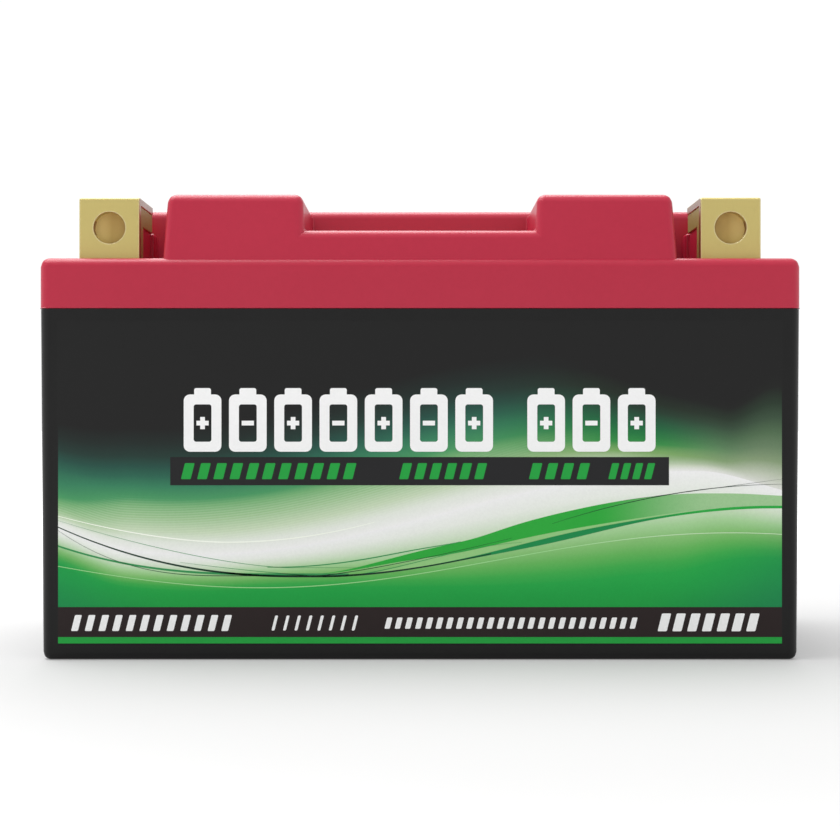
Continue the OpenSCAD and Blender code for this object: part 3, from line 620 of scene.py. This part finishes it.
def build_lid():
    lean = (TOP_Z - SHOULDER_Z) * DRAFT
    inset = SKIN + lean
    block_ys = (BLOCK_Y + inset, PLATEAU_Y0 + inset + 1)
    block_mid = (BLOCK_X0 + BLOCK_X1 - lean) / 2
    block_room = (BLOCK_X1 - BLOCK_X0 - lean) / 2 - SKIN
    below, rebate, rebate_top = SEAM_Z - 1, 1.15, SEAM_Z + 3.2
    mesh = cut(
        join(skirt_mesh(), raised_mesh()),
        rounded_slab(HOLLOW_L, HOLLOW_W, HOLLOW_R, below, SHOULDER_Z - SKIN),
        rounded_slab(HOLLOW_L + rebate, HOLLOW_W + rebate, 1.3, below, rebate_top),
        box((inset - BLOCK_X1, BLOCK_X1 - inset), block_ys, (SEAM_Z, NOTCH_Z - SKIN)),
        box((block_mid - block_room, block_mid + block_room), block_ys, (SEAM_Z, ROOF_Z)),
        box((-block_mid - block_room, -block_mid + block_room), block_ys, (SEAM_Z, ROOF_Z)),
        box((inset - PLATEAU_L, PLATEAU_L - inset), (PLATEAU_Y0 + inset, PLATEAU_Y1 - inset),
            (SEAM_Z, ROOF_Z)))

    # under each terminal: pedestal and boss, then the tab's slot, the resin well and the bolt pocket
    for side in (-1, 1):
        boss = terminal_box(side, 10.2, (-28.2, -17.8), (73.4, SHOULDER_Z - SKIN + 0.5))
        mesh = join(mesh, pedestal_mesh(side), boss)
    for side in (-1, 1):
        slot = terminal_box(side, 6.0, (-24.6, -21.4), (SEAM_Z, SHOULDER_Z + 1))
        well = terminal_box(side, 9.0, (-27.0, -19.0), (SEAM_Z, SHOULDER_Z - SKIN))
        pocket = terminal_box(side, 3.3, (-21.3, -14.7), (80.5, 88.0))
        mesh = cut(mesh, slot, well, pocket)
    moulded_piece("lid_shell", cut(mesh, *sign_cutters()), "red_lid", "lid")


# ---------------------------------------------------------------- case
def build_case():
    corner, foot, rim = 2.0, 1.5, 0.2

    def radius_of(a, b):
        if abs(a.z - b.z) > 1:
            return corner
        return foot if a.z < 1 else rim

    mesh = box((-CASE_L, CASE_L), (-CASE_W, CASE_W), (0, SEAM_Z), foot=CASE_FOOT_L - CASE_L)
    mesh = bevel_edges(mesh, radius_of, corner, 7)
    # tongue that goes up into the lid
    mesh = join(mesh, rounded_slab(73.5, 31.3, 1.2, SEAM_Z - 1, SEAM_Z + 2.5))
    mesh = cut(mesh,
               rounded_slab(HOLLOW_L, HOLLOW_W, HOLLOW_R, CASE_FLOOR, SEAM_Z + 4),
               box((-LABEL_L, LABEL_L), (-HALF_W - 1, LABEL_Y + FILM), (LABEL_Z0, LABEL_Z1)))
    # four shallow recesses in the base, with ribs between them
    recess_half, recess_top, recess_r = 22, 0.8, 2.5
    for xs in ((-64, -32.8), (-31.2, -0.8), (0.8, 31.2), (32.8, 64)):
        recess = box(xs, (-recess_half, recess_half), (-1, recess_top))
        mesh = cut(mesh, bevel_edges(recess, lambda a, b: recess_r if abs(a.z - b.z) > 0.1 else 0.0,
                                     recess_r, 4))
    moulded_piece("case_shell", mesh, "black_case", "case")


# ---------------------------------------------------------------- terminals
def plate_mesh(side):
    """Folded brass plate: down the front and along the top, with a rounded outer fold."""
    outline = [(PLATE_FRONT, SHOULDER_Z), (LEG_FRONT, SHOULDER_Z), (LEG_FRONT, ARM_Z1),
               (ARM_BACK, ARM_Z1), (ARM_BACK, TERM_TOP)]
    fold_y, fold_z, steps = PLATE_FRONT + FOLD_R, TERM_TOP - FOLD_R, 6
    for k in range(steps + 1):
        a = math.radians(90 + 90 * k / steps)
        outline.append((fold_y + FOLD_R * math.cos(a), fold_z + FOLD_R * math.sin(a)))
    mesh = prism_x(outline, side * TERM_X - PLATE_HALF, side * TERM_X + PLATE_HALF)
    mesh = angle_bevel(mesh, 0.2, 3, 35)
    # the front hole has a slightly wider mouth
    front_hole = [(HOLE_R, -1), (HOLE_R, 1.45), (HOLE_R + 0.03, 1.48), (HOLE_R + 0.03, 3)]
    return cut(mesh,
               turned(front_hole, (side * TERM_X, LEG_FRONT - 0.5, FRONT_HOLE_Z), "Y"),
               turned([(HOLE_R, -1), (HOLE_R, 3)], (side * TERM_X, TOP_HOLE_Y, ARM_Z1)))


def block_mesh(side):
    """Solid angle inside the plate, with a threaded hole down through its arm."""
    leg = terminal_box(side, BRASS_HALF, (LEG_FRONT, LEG_BACK), (TAB_Z, ARM_Z1))
    arm = terminal_box(side, BRASS_HALF, (LEG_FRONT + 1, ARM_BACK), (ARM_Z0, ARM_Z1))
    minor, major, pitch = 2.52, 2.96, 1.0
    thread = [(minor, -1.0)]
    for turn in range(4):
        z = turn * pitch
        thread += [(minor, z), (major, z + 0.42), (major, z + 0.52), (minor, z + 0.9)]
    thread.append((minor, 5.0))
    tab_hole_r, tab_hole_y, tab_hole_z = 2.2, LEG_BACK - 0.2, 68.2
    mesh = cut(join(leg, arm),
               turned(thread, (side * TERM_X, TOP_HOLE_Y, ARM_Z0)),
               turned([(tab_hole_r, -1), (tab_hole_r, 5)], (side * TERM_X, tab_hole_y, tab_hole_z), "Y"))
    return angle_bevel(mesh, 0.1, 1, 50)


def build_terminal(side, sign):
    moulded_piece(f"{sign}_terminal_plate", plate_mesh(side), "terminal_brass", f"terminal_plate_{sign}")
    moulded_piece(f"{sign}_terminal_block", block_mesh(side), "inner_brass", f"terminal_block_{sign}")


# ---------------------------------------------------------------- label
def tone(r, g, b):
    """Ink colour from the brightness it should show on the lit label, 0 to 255 each."""
    darkest, haze, gain = 0.0018, 0.0185, 1.1
    out = []
    for c in (r / 255, g / 255, b / 255):
        lit = c / 12.92 if c < 0.04045 else ((c + 0.055) / 1.055) ** 2.4
        out.append(max(darkest, (lit - haze) * gain))
    return tuple(out)


def label_material():
    """Printed film: a pale wave that turns black above and green below."""
    net = Net("printed_label_film")
    x = net.math("MULTIPLY", net.axis("X"), 1000.0)
    z = net.math("MULTIPLY", net.axis("Z"), 1000.0)
    mid = net.math("DIVIDE", net.math("SUBTRACT", x, WAVE_X), WAVE_LENGTH)
    mid = net.math("MULTIPLY_ADD", net.math("SINE", mid), WAVE_RISE, WAVE_Z)
    mid = net.math("ADD", mid, net.ease(x, 55.0, 74.0, 0.0, -2.6))
    mid = net.math("ADD", mid, net.ease(x, -74.0, -58.0, 2.6, 0.0))
    off = net.math("SUBTRACT", z, mid)

    def stops(rows, reach):
        return [(position / reach, tone(*colour)) for position, colour in rows]

    # above the wave: white through pale and deep green to black, over a height that varies along x
    bell = net.math("POWER", net.math("DIVIDE", net.math("ADD", x, 4.0), 38.0), 2.0)
    bell = net.math("EXPONENT", net.math("MULTIPLY", bell, -1.0))
    wide = net.math("MULTIPLY_ADD", bell, 0.22, 0.95)
    wide = net.math("SUBTRACT", wide, net.ease(x, 22.0, 62.0, 0.0, 0.38))
    wide = net.math("ADD", wide, net.ease(x, 60.0, 71.0, 0.0, 0.3))
    raised = net.math("ADD", net.ease(off, 0.0, 4.5, 0.6, 4.2), net.ease(off, 7.0, 12.0, 0.0, -1.2))
    corner = net.ease(x, -72.0, -56.0, 1.0, 0.0)
    lift = net.math("MULTIPLY_ADD", raised, corner, off)
    fade = net.math("MULTIPLY_ADD", corner, 1.2, lift)
    raised = net.math("ADD", net.ease(off, 0.0, 1.6, 0.0, 1.2), net.ease(off, 2.0, 4.5, 0.0, -0.7))
    near = net.math("MULTIPLY", net.ease(x, 32.0, 46.0, 0.0, 1.0), net.ease(x, 58.0, 68.0, 1.0, 0.0))
    lift = net.math("MULTIPLY_ADD", raised, near, lift)
    upper_reach = 26.0
    height = net.math("DIVIDE", net.math("DIVIDE", lift, wide), upper_reach, clamp=True)
    left = net.ramp(height, stops([
        (0, (230, 230, 229)), (2.2, (217, 222, 213)), (4.3, (186, 204, 174)), (7, (146, 183, 136)),
        (9.3, (112, 166, 112)), (10.6, (76, 145, 97)), (13, (61, 124, 92)), (15, (52, 100, 82)),
        (17, (47, 80, 71)), (19, (46, 63, 58)), (21.5, (44, 51, 49)), (24.5, (42, 42, 42))], upper_reach))
    right = net.ramp(height, stops([
        (0, (229, 229, 228)), (3, (198, 209, 188)), (6, (121, 162, 99)), (8.1, (58, 136, 72)),
        (10.2, (46, 118, 68)), (12.3, (42, 101, 66)), (14.4, (44, 84, 62)), (16.7, (46, 64, 53)),
        (19, (45, 52, 46)), (22.5, (42, 42, 42))], upper_reach))
    far = net.ramp(height, stops([
        (0, (210, 211, 205)), (3, (178, 187, 168)), (6, (130, 150, 117)), (9.4, (102, 125, 97)),
        (12.7, (82, 106, 80)), (16, (64, 82, 66)), (19.3, (50, 62, 52)), (23, (43, 44, 43)),
        (25.5, (42, 42, 42))], upper_reach))
    upper = net.mix(net.ease(x, 2.0, 40.0, 0.0, 1.0), left, right)
    upper = net.mix(net.ease(x, 44.0, 68.0, 0.0, 1.0), upper, far)

    # below the wave: white to a full green that darkens at the foot and in the corners
    lower_reach = 1.1
    deep = net.math("ADD", net.ease(x, -36.0, 38.0, 7.6, 21.0), net.ease(x, 48.0, 74.0, 0.0, -7.0))
    depth = net.math("DIVIDE", net.math("MULTIPLY", off, -1.0), deep)
    lower = net.ramp(net.math("DIVIDE", depth, lower_reach, clamp=True), stops([
        (0, (230, 230, 230)), (0.18, (222, 226, 219)), (0.34, (198, 214, 190)), (0.5, (158, 199, 146)),
        (0.62, (130, 184, 114)), (0.74, (98, 172, 90)), (0.85, (66, 164, 78)), (0.95, (46, 159, 74)),
        (1.06, (42, 157, 73))], lower_reach))
    foot = net.ease(z, 9.0, 17.0, 1.0, 0.0)
    lower = net.mix(net.math("MULTIPLY", foot, 0.8), lower, tone(39, 144, 66))
    outward = net.math("ABSOLUTE", net.math("SUBTRACT", x, -3.0))
    outward = net.math("SUBTRACT", outward, net.math("MULTIPLY", z, 1.5))
    lower = net.mix(net.ease(outward, 26.0, 64.0, 0.0, 0.85), lower, tone(38, 122, 80))
    art = net.mix(net.math("GREATER_THAN", off, 0.0), lower, upper)
    art = net.mix(net.math("LESS_THAN", z, 4.0), art, BLACK)

    # hairlines that follow the wave in its pale upper part
    hair = net.math("SINE", net.math("MULTIPLY", net.math("MULTIPLY_ADD", x, -0.06, off), 13.0))
    zone = net.math("MULTIPLY", net.ease(off, 1.5, 4.0, 0.0, 1.0), net.ease(fade, 8.0, 11.5, 1.0, 0.0))
    zone = net.math("MULTIPLY", zone, net.ease(x, -10.0, 40.0, 1.0, 0.0))
    hair = net.math("MULTIPLY", net.remap(hair, -1.0, 1.0, 0.0, 0.12), zone)
    art = net.mix(hair, art, tone(236, 240, 228))

    # print grain, film waviness
    dots = net.noise(2600.0, 1.0)
    art = net.mix(net.remap(dots, 0.35, 0.7, 0.0, 0.035), art, tone(30, 34, 30))
    peel = net.noise(180.0, 3.0)
    net.set(Base_Color=art, Roughness=net.remap(peel, 0.3, 0.7, 0.4, 0.46), Specular_IOR_Level=0.25,
            Normal=net.bump(net.math("ADD", peel, net.math("MULTIPLY", dots, 0.3)), 0.00001, 0.1))
    return net.material


def ink_material(name, colour, blend=None):
    """Printed ink: slightly uneven colour, thin film gloss. blend is (colour at right, x0, x1) in mm."""
    rough = 0.42
    net = Net(name)
    grain = net.noise(2600.0, 2.0, 0.6)
    clouds = net.noise(120.0, 2.0)
    base = colour
    if blend:
        other, x0, x1 = blend
        x = net.math("MULTIPLY", net.axis("X"), 1000.0)
        base = net.mix(net.ease(x, x0, x1, 0.0, 1.0), colour, other)
    base = net.mix(net.remap(grain, 0.4, 0.7, 0.0, 0.08), base, scaled(colour, 0.7))
    net.set(Base_Color=base, Roughness=net.remap(clouds, 0.3, 0.7, rough - 0.03, rough + 0.04),
            Specular_IOR_Level=0.25, Normal=net.bump(grain, 0.000005, 0.2))
    return net.material


def decal(name, meshes, material):
    piece = new_object(name, tidy(merged(meshes), 40))
    piece.data.materials.append(material)


def rounded_outline(x0, x1, z0, z1, radius, steps=5, slant=0.0):
    points = []
    for centre_x, centre_z, start in ((x1 - radius, z0 + radius, -90), (x1 - radius, z1 - radius, 0),
                                      (x0 + radius, z1 - radius, 90), (x0 + radius, z0 + radius, 180)):
        for k in range(steps + 1):
            a = math.radians(start + 90 * k / steps)
            z = centre_z + radius * math.sin(a)
            points.append((centre_x + radius * math.cos(a) + slant * (z - z0), z))
    return points


def strip(low, high, layer, x0, x1):
    """Flat band between two curves, as a thin solid that never narrows to nothing."""
    steps, thinnest = 110, 0.02
    xs = [x0 + (x1 - x0) * i / steps for i in range(steps + 1)]
    lows = [low(x) for x in xs]
    highs = [max(high(x), low(x) + thinnest) for x in xs]
    verts, faces = [], []
    for y in layer:
        verts += [(x, y, z) for x, z in zip(xs, lows)] + [(x, y, z) for x, z in zip(xs, highs)]
    m = steps + 1
    for i in range(steps):
        faces.append((i, i + 1, m + i + 1, m + i))
        faces.append((2 * m + i, 3 * m + i, 3 * m + i + 1, 2 * m + i + 1))
        faces.append((i, 2 * m + i, 2 * m + i + 1, i + 1))
        faces.append((m + i, m + i + 1, 3 * m + i + 1, 3 * m + i))
    faces.append((0, m, 3 * m, 2 * m))
    faces.append((steps, 2 * m + steps, 3 * m + steps, m + steps))
    return mesh_from(verts, faces)


def cell_symbol(x0, plus, layer):
    """Upright cell: outline with round corners, a contact on top and a sign inside."""
    x1, z0, z1 = x0 + 7.4, 41.0, 53.5
    contact, contact_half, stroke = 1.25, 1.65, 1.95
    body_top = z1 - contact
    mid, mid_z = (x0 + x1) / 2, (z0 + body_top) / 2
    y0, y1 = layer
    body = prism_y(rounded_outline(x0, x1, z0, body_top, 1.2), y0, y1)
    nub = prism_y(rounded_outline(mid - contact_half, mid + contact_half, body_top - 0.6, z1, 0.4), y0, y1)
    window = rounded_outline(x0 + stroke, x1 - stroke, z0 + stroke, body_top - stroke, 0.5)
    shell = cut(join(body, nub), prism_y(window, y0 - 1, y1 + 1))
    sign = plus_outline(1.2, 0.46) if plus else minus_outline(1.2, 0.46)
    return [shell, prism_y([(mid + x, mid_z + z) for x, z in sign], y0, y1)]


def dashes(x0, x1, count, z0, z1, fill, layer):
    """Row of slanted dashes between x0 and x1, where fill is how much of its place each one takes."""
    pitch = (x1 - x0) / count
    out = []
    for i in range(count):
        a = x0 + pitch * i
        out.append(prism_y(rounded_outline(a, a + pitch * fill, z0, z1, 0.2, 3, 0.25), *layer))
    return out


def bar(z0, z1, layer, x0=-LABEL_L, x1=LABEL_L):
    return [prism_y([(x0, z0), (x1, z0), (x1, z1), (x0, z1)], *layer)]


def ease(x, a, b):
    """0 before a, 1 after b, and a soft rise between them."""
    t = min(1.0, max(0.0, (x - a) / (b - a)))
    return t * t * (3 - 2 * t)


def swell(x, at, width):
    """Bump of height 1 at x = at."""
    return math.exp(-((x - at) / width) ** 2)


def fall(x, low, at, rise, reach, power):
    """Curve that comes down from the left and levels out at x = at."""
    return low + rise * (max(0.0, at - x) / reach) ** power


def second(x):
    """Height of the second ribbon."""
    return 16.5 + 13.6 * ease(x, -20, 69)


def crest(x):
    """Upper edge of the green ribbon."""
    return 18.3 + 14.5 * ease(x, -28, 56) - 0.6 * ease(x, 60, 76) - 0.75 * swell(x, 9.5, 8)


def belly(x):
    """Lower edge of the green ribbon."""
    return second(x) + 0.3 + 1.3 * swell(x, 19, 21) + swell(x, -5, 11)


def line(height, thick, layer, x0=-LABEL_L, x1=LABEL_L, thin_ends=0.3):
    """Line along a curve, thinner towards its ends."""
    def half(x):
        k = math.sin(math.pi * (x - x0) / (x1 - x0))
        return thick / 2 * (thin_ends + (1 - thin_ends) * max(0.0, k))
    return strip(lambda x: height(x) - half(x), lambda x: height(x) + half(x), layer, x0, x1)


def build_label_lines(base_layer, low_layer, mid_layer, top_layer):
    """Ribbons and fine lines of the background."""
    decal("label_ribbon",
          [strip(belly, lambda x: belly(x) + (crest(x) - belly(x)) * ease(x, -22, 9),
                 low_layer, -20, LABEL_L)],
          ink_material("ribbon_ink", tone(52, 160, 64), (tone(152, 190, 142), 34.0, 60.0)))
    decal("label_second_ribbon",
          [strip(lambda x: second(x) - 0.05 - 0.5 * swell(x, 28, 14) - 0.2 * ease(x, 40, 62),
                 lambda x: second(x) + 0.13 + 0.5 * swell(x, 28, 15) + 0.15 * ease(x, 40, 62),
                 mid_layer, -24, LABEL_L)],
          ink_material("second_ribbon_ink", tone(36, 132, 76), (tone(50, 160, 70), 40.0, 56.0)))
    decal("label_third_ribbon",
          [strip(second, lambda x: second(x) + (belly(x) - second(x)) * ease(x, -14, 8),
                 base_layer, -14, LABEL_L)],
          ink_material("third_ribbon_ink", tone(140, 190, 124), (tone(176, 204, 168), 40.0, 70.0)))
    decal("label_dark_lines", [
        line(lambda x: fall(x, second(x), -24, 9.6, 47, 2.2), 0.4, top_layer, x1=14, thin_ends=0.5),
        line(lambda x: fall(x, 16.6, -38, 8.8, 33, 2.6) + 7.4 * (max(0.0, x + 20) / 38) ** 1.25,
             0.15, top_layer, x1=18),
        line(lambda x: 26.85 + 7.75 * (1 - max(0.0, 1 - (x - 26) / 45.3) ** 1.9), 0.15, top_layer, x0=26),
        line(lambda x: 31.4 + 4.2 * ((x - 40) / 31), 0.08, top_layer, x0=40),
    ], ink_material("deep_green_ink", tone(40, 62, 50)))
    decal("label_green_lines", [
        line(lambda x: fall(x, 16.9, -30, 5.5, 41, 2.5), 0.4, top_layer, x1=-14, thin_ends=0.8),
        line(lambda x: fall(x, 16.2, -12, 2.4, 30, 1.5) + 7.0 * ease(x, -20, 22),
             0.14, top_layer, x0=24 - LABEL_L, x1=20),
        line(crest, 0.22, top_layer, x0=-30, x1=8, thin_ends=0.6),
        line(lambda x: fall(x, 18.2, -26, 9.2, 45, 1.5), 0.1, top_layer, x1=-10),
    ], ink_material("line_green_ink", tone(60, 140, 84)))
    decal("label_pale_lines",
          [line(lambda x: 19.65 + 5.4 * math.sin((x - 15) / 29.5), 0.17, top_layer, thin_ends=0.8)],
          ink_material("pale_line_ink", tone(150, 205, 140), (tone(190, 215, 180), 20.0, 60.0)))
    decal("label_white_line",
          [line(lambda x: 23.2 + 5.1 * (abs(x + 38) / 33) ** (1.7 if x < -38 else 2.0),
                0.24, top_layer, x1=-9, thin_ends=0.4)],
          ink_material("white_line_ink", tone(236, 240, 230)))


def build_label():
    film = box((-LABEL_L, LABEL_L), (LABEL_Y, LABEL_Y + FILM), (LABEL_Z0, LABEL_Z1))
    piece = new_object("label_film", tidy(film), ["front_label"])
    piece.data.materials.append(label_material())

    # each print layer stands one step further out than the one below
    layers = [(LABEL_Y - INK_STEP * level, LABEL_Y) for level in range(1, 7)]
    build_label_lines(*layers[:4])
    symbol_layer, mark_layer = layers[4:]

    # row of cell symbols in place of the title
    white = ink_material("white_ink", tone(231, 231, 231))
    symbols = []
    for first, count in ((-46.45, 7), (21.1, 3)):
        for i in range(count):
            symbols += cell_symbol(first + 8.9 * i, i % 2 == 0, symbol_layer)
    decal("label_cell_symbols", symbols, white)

    # dark bar with groups of green dashes
    green = ink_material("green_ink", tone(45, 152, 68))
    decal("label_middle_bar", bar(34.4, 39.95, symbol_layer, -49.1, 48.95),
          ink_material("dark_ink", tone(45, 45, 46)))
    marks = []
    for x0, x1, count in ((-47.0, -12.0, 11), (-4.1, 13.6, 6), (21.4, 33.9, 4), (37.0, 46.4, 4)):
        marks += dashes(x0, x1, count, 35.6, 38.75, 0.6, mark_layer)
    decal("label_green_dashes", marks, green)

    # bottom bar with white dashes, and a green rule under it
    decal("label_bottom_bar", bar(4.5, 10.45, symbol_layer),
          ink_material("warm_dark_ink", tone(49, 43, 43)))
    decal("label_green_rule", bar(3.3, 4.55, mark_layer), green)
    marks = []
    for x0, x1, count, z0, z1, fill in (
            (-68.6, -36.4, 12, 5.75, 8.9, 0.5), (-29.2, -11.2, 8, 5.85, 8.8, 0.26),
            (-7.0, 43.2, 25, 6.2, 8.4, 0.52), (46.7, 67.0, 7, 5.7, 9.2, 0.62)):
        marks += dashes(x0, x1, count, z0, z1, fill, mark_layer)
    decal("label_white_dashes", marks, white)


# ---------------------------------------------------------------- build
build_lid()
build_case()
build_terminal(-1, "positive")
build_terminal(1, "negative")
build_label()

# carried-over CAD nodes take the finished material of their slot
slot_of = {part["node"]: part["material_slot"] for part in frame["record"]["subparts"]}
for name, node in frame["nodes"].items():
    if not node.hide_render and slot_of.get(name) in mats:
        node.data.materials.clear()
        node.data.materials.append(mats[slot_of[name]])


# ---------------------------------------------------------------- stage
def build_floor():
    """Pale paper with a painted shadow, its colour darker near the object, and a painted glow of its own
    that is fainter near the object.
    """
    bpy.ops.mesh.primitive_plane_add(size=12.0, location=(0, 0, 0))
    floor = bpy.context.object
    floor.name = "studio_floor"
    net = Net("floor_paper")
    # distance from a point a little right of the middle, so the painted shadow reaches further on the
    # right
    far = net.add("VectorMath")
    far.operation = "DISTANCE"
    far.inputs[1].default_value = (0.035, 0, 0)
    net.put(far.inputs[0], net.place)
    paper = net.mix(net.noise(3.0, 2.0), (0.69, 0.69, 0.69), (0.71, 0.71, 0.71))
    # painted shadow: darker paper near the object; painted glow: the floor gives light of its own, fainter
    # near the object
    near = net.ease(far.outputs["Value"], 0.12, 0.3, 0.0, 1.0)
    painted_floor_glow = net.ease(far.outputs["Value"], 0.2, 0.9, 0.19, 0.62)
    net.set(Base_Color=net.mix(near, (0.43, 0.43, 0.43), paper), Roughness=0.8, Specular_IOR_Level=0.1,
            Emission_Color=(1, 1, 1), Emission_Strength=painted_floor_glow)
    floor.data.materials.append(net.material)


def build_world():
    """White studio: bright backdrop and ceiling, quieter behind the camera."""
    world = bpy.data.worlds.new("studio")
    bpy.context.scene.world = world
    world.use_nodes = True
    nodes, links = world.node_tree.nodes, world.node_tree.links
    back = nodes["Background"]
    back.inputs["Color"].default_value = (1, 1, 1, 1)
    toward = nodes.new("ShaderNodeVectorMath")
    toward.operation = "DOT_PRODUCT"
    toward.inputs[1].default_value = (0, 1, 1.1)
    links.new(nodes.new("ShaderNodeTexCoord").outputs["Generated"], toward.inputs[0])
    level = nodes.new("ShaderNodeMapRange")
    level.interpolation_type = "SMOOTHSTEP"
    for name, limit in (("From Min", -1.0), ("From Max", 0.2), ("To Min", 0.64), ("To Max", 1.02)):
        level.inputs[name].default_value = limit
    links.new(toward.outputs["Value"], level.inputs["Value"])
    links.new(level.outputs["Result"], back.inputs["Strength"])


def build_softbox():
    """Overhead light, to the left and behind the object, aimed at its middle."""
    light = bpy.data.lights.new("top_softbox", "AREA")
    light.shape = "RECTANGLE"
    light.size, light.size_y = 1.1, 0.6
    light.energy = 10.8
    lamp = bpy.data.objects.new("top_softbox", light)
    bpy.context.scene.collection.objects.link(lamp)
    lamp.location = (-0.22, 0.18, 0.85)
    aim = Vector((0, 0, 0.05)) - Vector(lamp.location)
    lamp.rotation_euler = aim.to_track_quat("-Z", "Y").to_euler()


def build_camera():
    """Looks straight at the front, 300 mm away, where the picture is 165.12 mm wide."""
    sensor, distance, picture = 36.0, 300.0, 165.12
    lens = bpy.data.cameras.new("camera")
    lens.sensor_width = sensor
    lens.lens = sensor * distance / picture
    lens.clip_start, lens.clip_end = 0.01, 30.0
    camera = bpy.data.objects.new("camera", lens)
    bpy.context.scene.collection.objects.link(camera)
    camera.location = (0.0, -(HALF_W + distance) * MM, 0.04723)
    camera.rotation_euler = (math.radians(90), 0, 0)
    bpy.context.scene.camera = camera


build_floor()
build_world()
build_softbox()
build_camera()
bpy.context.scene.view_settings.view_transform = "Standard"
